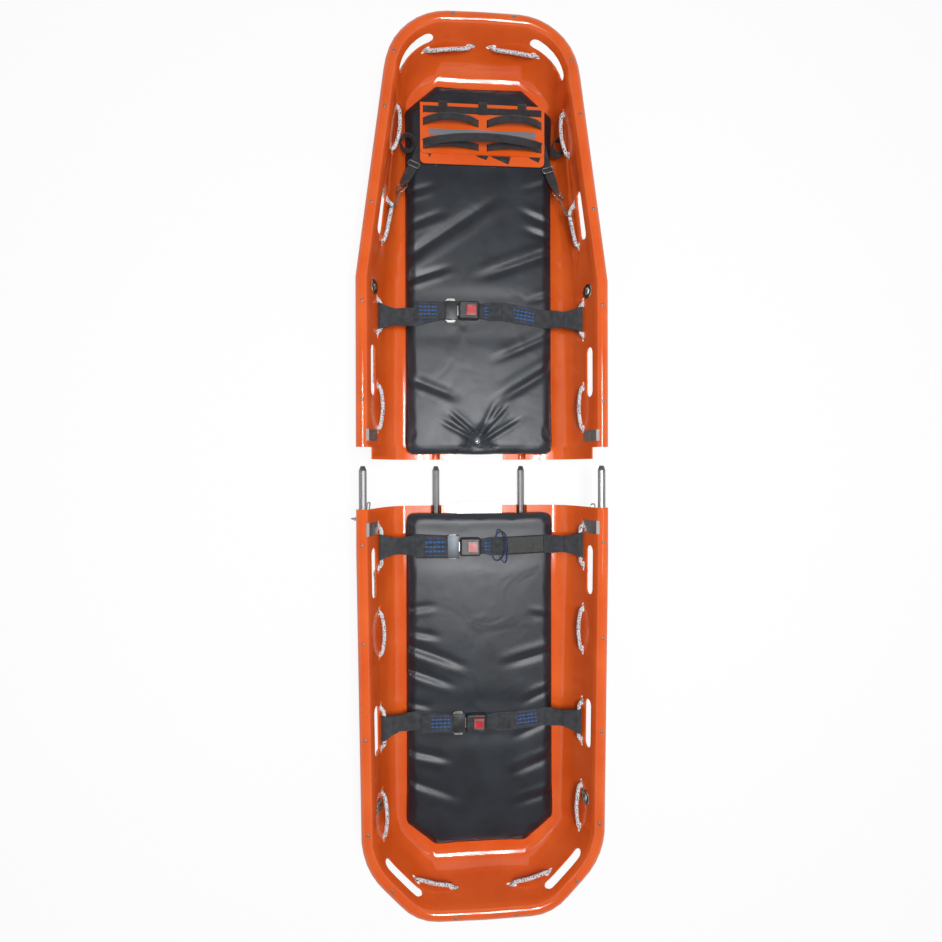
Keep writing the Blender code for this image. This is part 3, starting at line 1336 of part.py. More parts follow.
def make_footrest(parent):
    axis = Vector((REST_X, REST_Y, REST_LOW + REST_PLATE + GAP))
    hinge = make_empty("footrest_hinge_axis", axis, parent)
    rest_plate("footrest_lower", REST_LOWER, REST_LOW, MATERIALS["orange"], parent)
    upper_low = REST_LOW + REST_PLATE + 2 * GAP
    rest_plate("footrest_upper", REST_UPPER, upper_low, MATERIALS["orange"], hinge)
    for number, x in enumerate(RING_XS, 1):
        bm = bmesh.new()
        loops = []
        for wide, radius in ((-1, RING_R - RING_BAND / 2), (1, RING_R - RING_BAND / 2),
                             (1, RING_R + RING_BAND / 2), (-1, RING_R + RING_BAND / 2)):
            centre = axis + Vector((x + wide * RING_WIDE / 2, 0, 0))
            angles = [2 * math.pi * k / 16 for k in range(16)]
            loops.append([bm.verts.new(centre + Vector((0, math.cos(a), math.sin(a))) * radius) for a in angles])
        for a, b in zip(loops, loops[1:] + loops[:1]):
            for k in range(16):
                m = (k + 1) % 16
                bm.faces.new((a[k], a[m], b[m], b[k]))
        add_object(f"footrest_ring_{number}", bm, MATERIALS["webbing"], parent, sharp=50)
    top = upper_low + REST_PLATE + GAP
    reach = FOOT_BAND["reach"]
    make_band("footrest_cross_band", FOOT_BAND, top, [(-reach, reach)], hinge)
    reach = INSTEP_BAND["reach"]
    make_band("footrest_instep_band", INSTEP_BAND, top, [(-reach, -INSTEP_MIDDLE), (INSTEP_MIDDLE, reach)], hinge)
    strip = bmesh.new()
    x0, x1, y = REST_X - STRIP_HALF[0], REST_X + STRIP_HALF[0], REST_Y - STRIP_BACK
    add_box(strip, (x0, y - STRIP_HALF[1], top), (x1, y + STRIP_HALF[1], top + STRIP_THICK))
    add_object("footrest_strip", strip, MATERIALS["tube"], hinge)


def make_band(name, band, top, arches, hinge):
    """A strap across the upper panel, flat at its ends and arched between each pair of places."""
    y, low = REST_Y - band["back"], top + REST_STRAP / 2
    course = [Vector((REST_X + arches[0][0] - 0.010, y, low))]
    for start, end in arches:
        for k in range(9):
            t = -1 + 2 * k / 8
            rise = band["rise"] * (1 - t * t) ** 0.8
            course.append(Vector((REST_X + lerp(start, end, k / 8), y, low + rise)))
    course.append(Vector((REST_X + arches[-1][1] + 0.010, y, low)))
    bm = bmesh.new()
    add_ribbon(bm, course, Vector((0, 1, 0)), band["wide"], REST_STRAP)
    add_object(name, bm, MATERIALS["webbing"], hinge, sharp=60)


def hook_frame(label, side):
    """Centre of the hook's bend, the hook's two directions across the rope, and the eye."""
    rope, along = rope_at(FOOT, side, FOOT_JOINT_Y + HOOK_S[label])
    if along.y < 0:
        along = -along
    inwards, ahead = EYE_FROM_ROPE[label]
    eye = rope + Vector((-side * inwards, ahead, -EYE_DROP))
    inward = (eye - rope) - along * (eye - rope).dot(along)
    u = (inward.normalized() * math.sin(HOOK_LEAN) + along * math.cos(HOOK_LEAN)).normalized()
    v = along.cross(u).normalized()
    if v.z < 0:
        v = -v
    return rope, rope + u * HOOK_SEAT, u, v, eye


def make_hook(label, side, parent):
    """A snap hook round the rope, with its eye at the footrest's side strap."""
    rope, centre, u, v, eye = hook_frame(label, side)
    hook = []
    for degrees in (-52, -75, -100, -125, -150, -180, 150, 120, 90, 60):
        a = math.radians(degrees)
        hook.append(centre + (u * math.cos(a) + v * math.sin(a)) * HOOK_R)
    bend = hook[-1]
    for degrees in (170, 130, 90, 55, 22, -22, -55, -90, -130, -165):
        a = math.radians(degrees)
        hook.append(eye + ((eye - centre).normalized() * math.cos(a) + v * math.sin(a)) * EYE_R)
    bm = bmesh.new()
    sweep_tube(bm, hook, HOOK_WIRE_R, sides=8)
    add_object("hook_" + label, bm, MATERIALS["steel"], parent, sharp=60)
    nose = centre + (u * math.cos(math.radians(-36)) + v * math.sin(math.radians(-36))) * HOOK_R
    root = bend.lerp(hook[10], 0.45) - v * (HOOK_WIRE_R + GATE_R + GAP + 0.0003)
    gate_axis = make_empty("gate_axis_" + label, root, parent)
    bm = bmesh.new()
    sweep_tube(bm, [root, root.lerp(nose, 0.5), nose], GATE_R, sides=8)
    add_object("gate_" + label, bm, MATERIALS["steel"], gate_axis, sharp=60)
    return eye, (eye - centre).normalized(), v


def make_side_strap(label, side, parent):
    """The footrest's side strap, looped through its snap hook's eye."""
    eye, u, v = make_hook(label, side, parent)
    bar = eye + u * EYE_R * math.cos(math.radians(22))
    course, across = side_strap_course(side, bar, u, v)
    widths = [0.025] * (len(course) - 9) + [0.014, 0.009] + [0.008] * 7
    bm = bmesh.new()
    add_ribbon(bm, course, across, widths, REST_STRAP)
    add_object("side_strap_" + label, bm, MATERIALS["webbing"], parent, sharp=50)


def side_strap_course(side, bar, u, v):
    """From under the footrest's lower panel to a loop round the hook's eye."""
    edge_x = REST_X + side * REST_HALF
    edge = Vector((edge_x - side * 0.004, FOOT_JOINT_Y + STRAP_LEAVES_S, REST_LOW - 0.0018))
    flat = Vector((edge.x - bar.x, edge.y - bar.y, 0.0)).normalized()
    wide = Vector((flat.y, -flat.x, 0.0))
    if wide.dot(v) < 0:
        wide = -wide
    start = edge + flat * 0.045
    out = edge - flat * 0.042
    back = (out - bar).normalized()
    back = (back - v * back.dot(v)).normalized()
    lift = back.cross(v)
    if lift.z < 0:
        lift = -lift
    radius = HOOK_WIRE_R + REST_STRAP / 2 + 0.0012
    course = [start, edge, out, out.lerp(bar, 0.5)]
    course += [bar + back * 0.022 - lift * 0.002, bar + back * 0.010 - lift * 0.0036]
    turn = [wide, wide, wide, wide.lerp(v, 0.5), v, v]
    for degrees in (-90, -130, 180, 130, 90):
        a = math.radians(degrees)
        course.append(bar + (back * math.cos(a) + lift * math.sin(a)) * radius)
        turn.append(v)
    course += [bar + back * 0.012 + lift * 0.0034, bar + back * 0.020 + lift * 0.0022]
    turn += [v, v]
    return course, turn


clear_scene()
MATERIALS = {
    "orange": make_material("orange polyethylene", ORANGE, 0.35),
    "tube": make_material("aluminium tube", STEEL, 0.35, 1.0),
    "steel": make_material("stainless steel", STEEL, 0.25, 1.0),
    "black": make_material("black moulded plastic", BLACK, 0.4),
    "vinyl": make_material("black vinyl", BLACK, 0.45),
    "webbing": make_material("black webbing", BLACK, 0.85),
    "rope": make_material("white braided rope", (0.75, 0.75, 0.72), 0.8),
    "red": make_material("red plastic", (0.6, 0.02, 0.02), 0.4),
    "guide": make_material("cutting guide", BLACK, 0.9),
}
foot_half = make_empty("foot_half", (0.0, FOOT_JOINT_Y, 0.0))
make_shell(HEAD, None)
make_shell(FOOT, foot_half)
make_rim_tube(HEAD, None)
make_rim_tube(FOOT, foot_half)
make_pins()
make_runner_tubes(foot_half)
make_centre_plate()
make_rope(HEAD, None)
make_rope(FOOT, foot_half)
make_eyelets(HEAD, None)
make_eyelets(FOOT, foot_half)
make_latches(foot_half)
make_pad(HEAD, HEAD_PAD, None)
make_pad(FOOT, FOOT_PAD, foot_half)
make_strap(FOOT, FOOT_STRAP, foot_half)
make_strap(HEAD, HEAD_STRAP, None)
make_strap(HEAD, CHEST_STRAP, None)
make_footrest(foot_half)
make_side_strap("left", -1, foot_half)
make_side_strap("right", 1, foot_half)
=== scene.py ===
# %% [markdown]
# # A two-piece basket stretcher, pulled apart at its joint
#
# The stretcher is two orange plastic half-shells. Each has a tube in its rolled
# rim, a padded mattress, cross straps and a lacing rope. The two halves lie on a
# pale floor with a gap between them, so that the locating pins show. This file
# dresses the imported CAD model: hard parts keep their CAD meshes and get a real
# finish, and soft parts are made again here with folds, stitches and weave.

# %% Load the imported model
import math

import bmesh
import bpy
from mathutils import Matrix, Vector
from mathutils.bvhtree import BVHTree


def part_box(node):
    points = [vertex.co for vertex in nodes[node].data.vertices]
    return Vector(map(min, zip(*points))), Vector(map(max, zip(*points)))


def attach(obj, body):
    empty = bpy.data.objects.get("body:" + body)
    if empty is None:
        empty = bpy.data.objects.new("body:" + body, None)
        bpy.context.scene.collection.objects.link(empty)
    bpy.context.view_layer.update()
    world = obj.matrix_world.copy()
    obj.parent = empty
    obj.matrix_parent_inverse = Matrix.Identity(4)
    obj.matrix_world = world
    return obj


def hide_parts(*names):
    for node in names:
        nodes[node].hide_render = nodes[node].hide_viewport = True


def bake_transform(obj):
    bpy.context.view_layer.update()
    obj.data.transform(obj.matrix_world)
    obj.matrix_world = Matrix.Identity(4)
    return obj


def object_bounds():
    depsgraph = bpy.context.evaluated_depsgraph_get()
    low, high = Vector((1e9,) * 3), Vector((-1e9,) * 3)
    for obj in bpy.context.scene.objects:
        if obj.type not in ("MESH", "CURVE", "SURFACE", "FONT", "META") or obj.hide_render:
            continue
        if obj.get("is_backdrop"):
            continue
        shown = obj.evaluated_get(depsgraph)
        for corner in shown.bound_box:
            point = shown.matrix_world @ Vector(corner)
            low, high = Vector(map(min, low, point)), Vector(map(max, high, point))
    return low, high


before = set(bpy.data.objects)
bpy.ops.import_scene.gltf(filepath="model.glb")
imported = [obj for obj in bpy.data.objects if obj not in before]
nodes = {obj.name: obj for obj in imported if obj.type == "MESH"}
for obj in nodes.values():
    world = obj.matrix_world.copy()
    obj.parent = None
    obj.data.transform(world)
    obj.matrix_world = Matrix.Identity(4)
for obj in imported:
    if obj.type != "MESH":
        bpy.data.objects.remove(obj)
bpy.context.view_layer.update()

# %% [markdown]
# ## Colours
#
# A colour is written as the hex value that a screen shows. Cycles works with
# linear light, so each value is turned once, by the sRGB curve.


# %% Hex colours in linear light
def to_linear(hex_colour):
    parts = [int(hex_colour[i:i + 2], 16) / 255 for i in (1, 3, 5)]
    linear = [c / 12.92 if c <= 0.04045 else ((c + 0.055) / 1.055) ** 2.4 for c in parts]
    return (*linear, 1.0)


print("orange in linear light:", [round(c, 3) for c in to_linear("#E4521B")])

# %% [markdown]
# ## Helpers for shader nodes
#
# Every material below is a small graph. `add_node` adds one node, sets its
# properties and fills its inputs. An input takes a value, an output of another
# node, or the node itself, which stands for its first output.


# %% Add a node
def fill_inputs(tree, node, inputs):
    for name, value in inputs.items():
        if isinstance(value, bpy.types.Node):
            value = value.outputs[0]
        if isinstance(value, bpy.types.NodeSocket):
            tree.links.new(value, node.inputs[name])
        else:
            node.inputs[name].default_value = value


def add_node(tree, kind, inputs=None, **settings):
    made = tree.nodes.new("ShaderNode" + kind)
    for name, value in settings.items():
        setattr(made, name, value)
    fill_inputs(tree, made, inputs or {})
    return made


def new_material(name, hex_colour, roughness, metallic=0.0, ior=1.5):
    material = bpy.data.materials.new(name)
    material.use_nodes = True
    shader = material.node_tree.nodes["Principled BSDF"]
    shader.inputs["Base Color"].default_value = to_linear(hex_colour)
    shader.inputs["Roughness"].default_value = roughness
    shader.inputs["Metallic"].default_value = metallic
    shader.inputs["IOR"].default_value = ior
    return material, material.node_tree, shader


print("helpers ready")

# %% [markdown]
# Most finishes use the same few nodes: noise in the object's own coordinates, a
# colour ramp, a range for the roughness, a sum or product, and a bump.


# %% Common nodes
def noise_at(tree, scale, detail, distortion=0.0, source="Object"):
    """Noise of one size, or drawn out by three scales."""
    place = add_node(tree, "TexCoord").outputs[source]
    if isinstance(scale, tuple):
        place, scale = add_node(tree, "Mapping", {"Vector": place, "Scale": scale}), 1.0
    return add_node(tree, "TexNoise", {"Vector": place, "Scale": scale, "Detail": detail,
                                       "Distortion": distortion})


def axes_of(tree, source):
    place = add_node(tree, "TexCoord").outputs[source]
    return add_node(tree, "SeparateXYZ", {"Vector": place}).outputs


def ramp(tree, source, *stops):
    """Colours from a value. Each stop is a position and a hex colour."""
    made = add_node(tree, "ValToRGB", {"Fac": source})
    for position, _ in stops[1:-1]:
        made.color_ramp.elements.new(position)
    for element, (position, hex_colour) in zip(made.color_ramp.elements, stops):
        element.position, element.color = position, to_linear(hex_colour)
    return made


def spread(tree, source, to_min, to_max, from_min=0.0, from_max=1.0):
    return add_node(tree, "MapRange", {"Value": source, "From Min": from_min, "From Max": from_max,
                                       "To Min": to_min, "To Max": to_max})


def maths(tree, operation, one, two=0.5):
    return add_node(tree, "Math", {0: one, 1: two}, operation=operation)


def bumps(tree, height, strength, distance, **more):
    return add_node(tree, "Bump", {"Height": height, "Strength": strength, "Distance": distance, **more})


def worn_finish(name, hex_colour, roughness, scale, detail, rough=None, tones=(), dents=None,
                metallic=0.0, ior=1.5, distortion=0.0):
    """A finish whose roughness, colour and bump follow one noise, each where it is given."""
    material, tree, shader = new_material(name, hex_colour, roughness, metallic, ior)
    grain = noise_at(tree, scale, detail, distortion)
    if rough:
        fill_inputs(tree, shader, {"Roughness": spread(tree, grain, *rough)})
    if tones:
        fill_inputs(tree, shader, {"Base Color": ramp(tree, grain, *tones)})
    if dents:
        fill_inputs(tree, shader, {"Normal": bumps(tree, grain, *dents)})
    print("finish:", name)
    return material


print("common nodes ready")

# %% [markdown]
# ## Orange polyethylene
#
# The shells are thick polyethylene, formed over a mould and left glossy. Under
# a lamp such a skin shows a faint orange peel, hair scratches along the length
# from being dragged, and a slightly deeper colour in patches.

# %% Shell plastic
shell_plastic, tree, shader = new_material("glossy vacuum-formed polyethylene", "#E05A1C", 0.11, ior=1.51)
fill_inputs(tree, shader, {
    "Base Color": ramp(tree, noise_at(tree, 9.0, 3.0), (0.35, "#DF591C"), (0.7, "#E96628")),
    "Roughness": spread(tree, noise_at(tree, (700.0, 6.0, 700.0), 2.0), 0.08, 0.14, 0.35, 0.75),
    "Normal": bumps(tree, noise_at(tree, 260.0, 1.0), 0.06, 0.0004)})
print("finish:", shell_plastic.name)

# %% [markdown]
# The CAD shell is made of flat faces. Its copy here has the same points, merged,
# and is shaded smooth wherever two faces meet at less than 35 degrees, so the
# long highlights along the rolled rim and the walls run unbroken.


# %% Smooth copies of the shells
def merged_copy(name, dist=0.00001):
    """A node's CAD mesh, with the points of its faces merged."""
    bm = bmesh.new()
    bm.from_mesh(nodes[name].data)
    bmesh.ops.remove_doubles(bm, verts=bm.verts, dist=dist)
    return bm


def mesh_of(name, bm):
    mesh = bpy.data.meshes.new(name)
    bm.to_mesh(mesh)
    bm.free()
    return mesh


def add_object(name, data):
    made = bpy.data.objects.new(name, data)
    bpy.context.scene.collection.objects.link(made)
    return made


def smooth_copy(name, body, material, angle=35.0):
    bm = merged_copy(name, 0.00002)
    bmesh.ops.dissolve_limit(bm, angle_limit=math.radians(0.5), verts=bm.verts, edges=bm.edges)
    mesh = mesh_of(name + "_skin", bm)
    mesh.materials.append(material)
    mesh.shade_smooth()
    mesh.set_sharp_from_angle(angle=math.radians(angle))
    skin = add_object(name + "_skin", mesh)
    skin.modifiers.new("even shading", "WEIGHTED_NORMAL").keep_sharp = True
    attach(skin, body)
    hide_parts(name)
    return skin


for name, body in (("foot_shell", "foot_half"), ("head_shell", "head_half")):
    skin = smooth_copy(name, body, shell_plastic)
    print(name, "faces:", len(skin.data.polygons))

# %% [markdown]
# ## Metals
#
# Four metals show. The rim tubes and runner tubes are drawn aluminium, with fine
# lines along them. The pins are turned and polished steel, darker at the taper
# where they rub. Latches, plates and hooks are zinc-plated steel, a little
# yellow-grey and uneven. Eyelets are nickel-plated brass.

# %% Drawn aluminium, zinc plate, stainless sheet and nickel
drawn_aluminium = worn_finish("drawn aluminium tube", "#C9CBCD", 0.3, (900.0, 12.0, 900.0), 2.0,
                              rough=(0.24, 0.42), metallic=1.0)
zinc_plate = worn_finish("zinc-plated steel", "#A9A8A2", 0.38, 70.0, 5.0, rough=(0.24, 0.5),
                         tones=((0.3, "#8B8A84"), (0.7, "#B9B8B3")), metallic=1.0)
brushed_sheet = worn_finish("brushed stainless sheet", "#C4C4C2", 0.32, (20.0, 1500.0, 1500.0), 2.0,
                            rough=(0.22, 0.5), metallic=1.0)
nickel = worn_finish("nickel-plated brass", "#A39B8A", 0.28, 160.0, 3.0,
                     tones=((0.35, "#6E665A"), (0.65, "#B8B0A0")), metallic=1.0)

# %% [markdown]
# The pins' tapered tips look almost black in the photograph, because the taper
# turns away from the light and carries grease from the sockets. So the tip's colour
# is darkened: partly real grease, partly painted shade. The tip is found by its
# place along Y in Object coordinates.

# %% Turned steel, with grease and painted shade at the tip
pin_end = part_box("rim_pin_left")[1].y
turned_steel, tree, shader = new_material("turned steel pin", "#8A8B8C", 0.3, metallic=1.0)
tip = spread(tree, axes_of(tree, "Object")["Y"], 0.0, 1.0, pin_end - 0.016, pin_end - 0.006)
# The tip's darker colour is partly grease and partly painted shade.
grease_and_painted_shade = maths(tree, "MULTIPLY", tip, noise_at(tree, 130.0, 4.0))
fill_inputs(tree, shader, {
    "Base Color": ramp(tree, grease_and_painted_shade, (0.0, "#8A8B8C"), (0.75, "#5A534C")),
    "Roughness": spread(tree, noise_at(tree, (4.0, 1400.0, 4.0), 1.0), 0.24, 0.42)})
print("finish:", turned_steel.name)

# %% [markdown]
# ## Finish the hard parts
#
# These nodes keep their CAD meshes. Only the material in their slots changes.


# %% Give each hard node its finish
def finish_node(name, material):
    mesh = nodes[name].data
    mesh.materials.clear()
    mesh.materials.append(material)


hard_finishes = {
    "_shell": shell_plastic, "rim_tube": drawn_aluminium, "runner_tube": drawn_aluminium,
    "rim_pin": turned_steel, "runner_pin": turned_steel, "latch_": zinc_plate, "_backing": brushed_sheet,
    "centre_plate": brushed_sheet, "_eyelet": nickel, "hook_": zinc_plate, "gate_": zinc_plate,
    "_tongue": zinc_plate, "footrest_upper": shell_plastic, "footrest_lower": shell_plastic,
}
finished = []
for name in nodes:
    for part_of_name, material in hard_finishes.items():
        if part_of_name in name:
            finish_node(name, material)
            finished.append(name)
print("hard nodes finished:", len(finished))

# %% [markdown]
# ## The lacing rope
#
# A braided polyester rope is laced through holes round the rim of each half, as
# handles. Its CAD solid is a plain six-sided sweep, 9 mm thick. Here the rope is
# made again as a round tube on the same line, 10.4 mm thick, as it looks in the
# photograph. First the line itself is read back from the CAD mesh: from the ring
# of corners at one end, each next ring is everything that is joined to the last
# one by an edge.


# %% Read a sweep's rings back from its CAD mesh
def read_rings(name, sides, start):
    bm = merged_copy(name)
    ring = sorted(bm.verts, key=lambda v: (v.co - Vector(start)).length)[:sides]
    rings, seen = [], set(ring)
    while ring:
        rings.append([v.co.copy() for v in ring])
        ring = list({e.other_vert(v) for v in ring for e in v.link_edges} - seen)
        seen.update(ring)
    bm.free()
    return rings


def middle_of(points):
    return sum(points, Vector()) / len(points)


def rope_start(name):
    """The rope starts at the joint end on the right, so that its first corners are nearest the gap."""
    towards = 1 if name.startswith("foot") else -1
    right = [v.co for v in nodes[name].data.vertices if v.co.x > 0]
    return min(right, key=lambda p: p.y * towards)


rope_lines = {name: [middle_of(ring) for ring in read_rings(name, 6, rope_start(name))]
              for name in ("foot_rope", "head_rope")}
print("rope points:", {name: len(line) for name, line in rope_lines.items()})

# %% [markdown]
# A curve through those points is made by Catmull and Rom's rule, which passes
# through every point and bends evenly between them. The result is cut into
# equal steps, so that the braid has the same size everywhere.


# %% Smooth a line and cut it into equal steps
def cut_evenly(points, step):
    lengths = [0.0]
    for a, b in zip(points, points[1:]):
        lengths.append(lengths[-1] + (b - a).length)
    count = max(2, round(lengths[-1] / step))
    line, place = [], 0
    for k in range(count + 1):
        target = lengths[-1] * k / count
        while place < len(lengths) - 2 and lengths[place + 1] < target:
            place += 1
        share = (target - lengths[place]) / max(lengths[place + 1] - lengths[place], 1e-9)
        line.append(points[place].lerp(points[place + 1], min(share, 1.0)))
    return line


def smooth_line(points, step, fine=8):
    dense = []
    padded = [points[0]] + list(points) + [points[-1]]
    for a, b, c, d in zip(padded, padded[1:], padded[2:], padded[3:]):
        for k in range(fine):
            t = k / fine
            dense.append(0.5 * ((2 * b) + (c - a) * t + (2 * a - 5 * b + 4 * c - d) * t * t
                                + (3 * b - a - 3 * c + d) * t ** 3))
    dense.append(points[-1].copy())
    return cut_evenly(dense, step)


print("line helpers ready")

# %% [markdown]
# The tube is a grid of faces. Each vertex is moved from its place in the flat
# grid to its place round the line, and keeps its flat place as its UV, in
# metres, for the braid.


# %% Wrap a grid round a line
def new_piece(name, bm, material, body, recalc=True):
    if recalc:
        bmesh.ops.recalc_face_normals(bm, faces=bm.faces)
    mesh = mesh_of(name, bm)
    mesh.materials.append(material)
    mesh.shade_smooth()
    piece = add_object(name, mesh)
    if body:
        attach(piece, body)
    return piece


def merge_close(bm):
    bmesh.ops.remove_doubles(bm, verts=bm.verts, dist=0.00002)


def close_holes(bm):
    bmesh.ops.holes_fill(bm, edges=[e for e in bm.edges if e.is_boundary])


def flat_grid(bm, across, along):
    """A unit grid, and for each vertex its column and row."""
    made = bmesh.ops.create_grid(bm, x_segments=across, y_segments=along, size=1.0)["verts"]
    return [(v, round((v.co.x + 1) / 2 * across), round((v.co.y + 1) / 2 * along)) for v in made]


def tangent_at(line, k):
    return (line[min(k + 1, len(line) - 1)] - line[max(k - 1, 0)]).normalized()


def lay_uvs(bm, uv, places):
    for face in bm.faces:
        for loop in face.loops:
            if loop.vert in places:
                loop[uv].uv = places[loop.vert]


def wrap_tube(bm, line, radii, sides=12):
    uv = bm.loops.layers.uv.verify()
    places, frames = {}, []
    grid = flat_grid(bm, sides, len(line) - 1)
    across = (line[1] - line[0]).orthogonal().normalized()
    for k, point in enumerate(line):
        tangent = tangent_at(line, k)
        across = (across - tangent * across.dot(tangent)).normalized()
        frames.append((point, across.copy(), tangent.cross(across)))
    step = (line[1] - line[0]).length
    for v, column, row in grid:
        places[v] = (column / sides, row * step)
        angle = 2 * math.pi * column / sides
        point, one, two = frames[row]
        v.co = point + (one * math.cos(angle) + two * math.sin(angle)) * radii[row]
    lay_uvs(bm, uv, places)
    merge_close(bm)


print("tube helper ready")

# %% [markdown]
# The braid is sixteen strands, eight each way round, about 6 mm from one
# crossing to the next along the rope. Two waves that run round the rope in
# opposite directions give the diamonds, which raise the bump and also darken
# the colour along the diamond pattern as painted shade on the strands. Black
# and red tracer threads repeat every few centimetres, as thin flecks.

# %% Braided polyester
strand_turns, crossings_per_metre = 8.0, 170.0
rope_polyester, tree, shader = new_material("braided polyester rope", "#F3F5F6", 0.78, ior=1.55)
axes = axes_of(tree, "UV")
run = maths(tree, "MULTIPLY", axes["Y"], crossings_per_metre * 2 * math.pi)
waves = []
for direction in (1.0, -1.0):
    turn = maths(tree, "MULTIPLY", axes["X"], strand_turns * 2 * math.pi * direction)
    waves.append(maths(tree, "SINE", maths(tree, "ADD", turn, run)))
diamonds = maths(tree, "MULTIPLY", *waves)
flecks = noise_at(tree, (16.0, 150.0, 1.0), 0.0, source="UV")
tracer = ramp(tree, flecks, (0.0, "#1E1B2A"), (0.36, "#F3F5F6"), (0.67, "#8A1F24"))
tracer.color_ramp.interpolation = "CONSTANT"
# Painted shade: the colour is darkened along the braid's diamonds.
painted_braid_shade = add_node(tree, "MixRGB", {"Fac": spread(tree, diamonds, 0.0, 1.0, -1.0, 1.0), "Color1": tracer,
                                "Color2": to_linear("#D4D6D8")}, blend_type="MULTIPLY")
fill_inputs(tree, shader, {"Sheen Weight": 0.25, "Base Color": painted_braid_shade,
                           "Normal": bumps(tree, diamonds, 0.7, 0.0006)})
print("finish:", rope_polyester.name)

# %% [markdown]
# At each end the rope is tied in an overhand knot behind the wall. The CAD
# solid has one thick bead there. Here the tube swells in the same place and the
# strands stay visible.

# %% Lay the two ropes
rope_step, rope_drawn, knot_radius, knot_long = 0.0042, 0.0052, 0.0094, 0.012


def rope_radius(distance, total):
    from_end = min(distance, total - distance)
    if from_end < knot_long:
        return knot_radius * min(1.0, math.sin(math.pi * (0.18 + 0.64 * from_end / knot_long)) + 0.12)
    return rope_drawn


for name, body in (("foot_rope", "foot_half"), ("head_rope", "head_half")):
    line = smooth_line(rope_lines[name], rope_step)
    total = rope_step * (len(line) - 1)
    bm = bmesh.new()
    wrap_tube(bm, line, [rope_radius(rope_step * k, total) for k in range(len(line))], sides=10)
    close_holes(bm)
    rope = new_piece(name + "_braid", bm, rope_polyester, body)
    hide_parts(name)
    print(name, "length in m:", round(total, 2), "faces:", len(rope.data.polygons))

# %% [markdown]
# ## The two mattress pads
#
# Each pad is soft foam in a welded cover of black PVC-coated nylon, cut with
# slanted corners at its far end. The cover is a little larger than the foam, so
# it lies in long soft wrinkles. Cloth simulation finds them: a copy of the CAD
# pad is remeshed into even small faces, its underside is held, and pressure
# swells the loose cover. The top is then kept under the straps that rest on it.

# %% PVC-coated nylon
pad_vinyl, tree, shader = new_material("PVC-coated nylon pad cover", "#26282C", 0.42, ior=1.53)
shade = noise_at(tree, 14.0, 4.0)
pebble = add_node(tree, "TexVoronoi", {"Vector": add_node(tree, "TexCoord").outputs["Object"],
                                       "Scale": 620.0})
grain = bumps(tree, pebble, 0.22, 0.0004)
fill_inputs(tree, shader, {
    "Base Color": ramp(tree, shade, (0.3, "#13181F"), (0.75, "#1E252E")),
    "Roughness": spread(tree, shade, 0.34, 0.48),
    "Normal": bumps(tree, noise_at(tree, 9.0, 2.0, 0.8), 0.25, 0.008, Normal=grain)})
print("finish:", pad_vinyl.name)


# %% Swell a pad's cover
def square_corners(mesh, low, high, end_y, radius=0.040):
    """Draw the two round corners at the joint end out to the tight ones of the real cover."""
    inward = 1 if end_y == low.y else -1
    for v in mesh.vertices:
        for corner_x, side in ((low.x + radius, -1), (high.x - radius, 1)):
            dx, dy = (v.co.x - corner_x) * side, (end_y + inward * radius - v.co.y) * inward
            if dx > 0 and dy > 0:
                away = math.hypot(dx, dy)
                stretch = (abs(dx / away) ** 4 + abs(dy / away) ** 4) ** -0.25
                stretch = 1 + (stretch - 1) * min(1.0, away / radius) ** 2
                v.co.x, v.co.y = corner_x + side * dx * stretch, end_y + inward * (radius - dy * stretch)


def remeshed_copy(name, voxel, shrink):
    bm = merged_copy(name)
    low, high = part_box(name)
    middle = (low.z + high.z) / 2
    for v in bm.verts:
        v.co.z = middle + (v.co.z - middle) * (1 - shrink)
    pad = add_object(name + "_cover", mesh_of(name + "_cover", bm))
    square_corners(pad.data, low, high, high.y if name == "head_pad" else low.y)
    mod = pad.modifiers.new("even faces", "REMESH")
    mod.mode, mod.voxel_size, mod.use_smooth_shade = "VOXEL", voxel, True
    return applied(pad)


def applied(piece):
    """Replace a piece's mesh by what its modifiers make of it."""
    bpy.context.view_layer.update()
    evaluated = piece.evaluated_get(bpy.context.evaluated_depsgraph_get())
    mesh = bpy.data.meshes.new_from_object(evaluated)
    piece.modifiers.clear()
    piece.data = mesh
    return piece


def held(co, low, stud):
    """What the simulation leaves in place: the underside, and the cover round the stud."""
    return co.z < low.z + 0.012 or bool(stud and (co.xy - stud.xy).length < 0.011)


def press_stud(pad, stud, depth=0.015, reach=0.026):
    for v in pad.data.vertices:
        away = (v.co.xy - stud.xy).length / reach
        if v.co.z > stud.z - 0.02 and away < 3:
            v.co.z -= depth * math.exp(-away * away)


def add_fold(pad, start, end, depth, wide, top):
    """A valley from start to end with a soft ridge beside it, fading to the end."""
    start, end = Vector(start), Vector(end)
    along = (end - start).normalized()
    reach = (end - start).length
    for v in pad.data.vertices:
        if v.co.z < top - 0.016:
            continue
        rel = v.co.xy - start
        run = rel.dot(along) / reach
        if not -0.15 < run < 1.15:
            continue
        aside = (rel.y * along.x - rel.x * along.y) / wide
        fade = min(1.0, (run + 0.15) / 0.3, (1.15 - run) / 0.6)
        valley = math.exp(-aside * aside) - 0.75 * math.exp(-(aside + 1.9) ** 2)
        v.co.z -= depth * valley * fade * fade * (3 - 2 * fade)


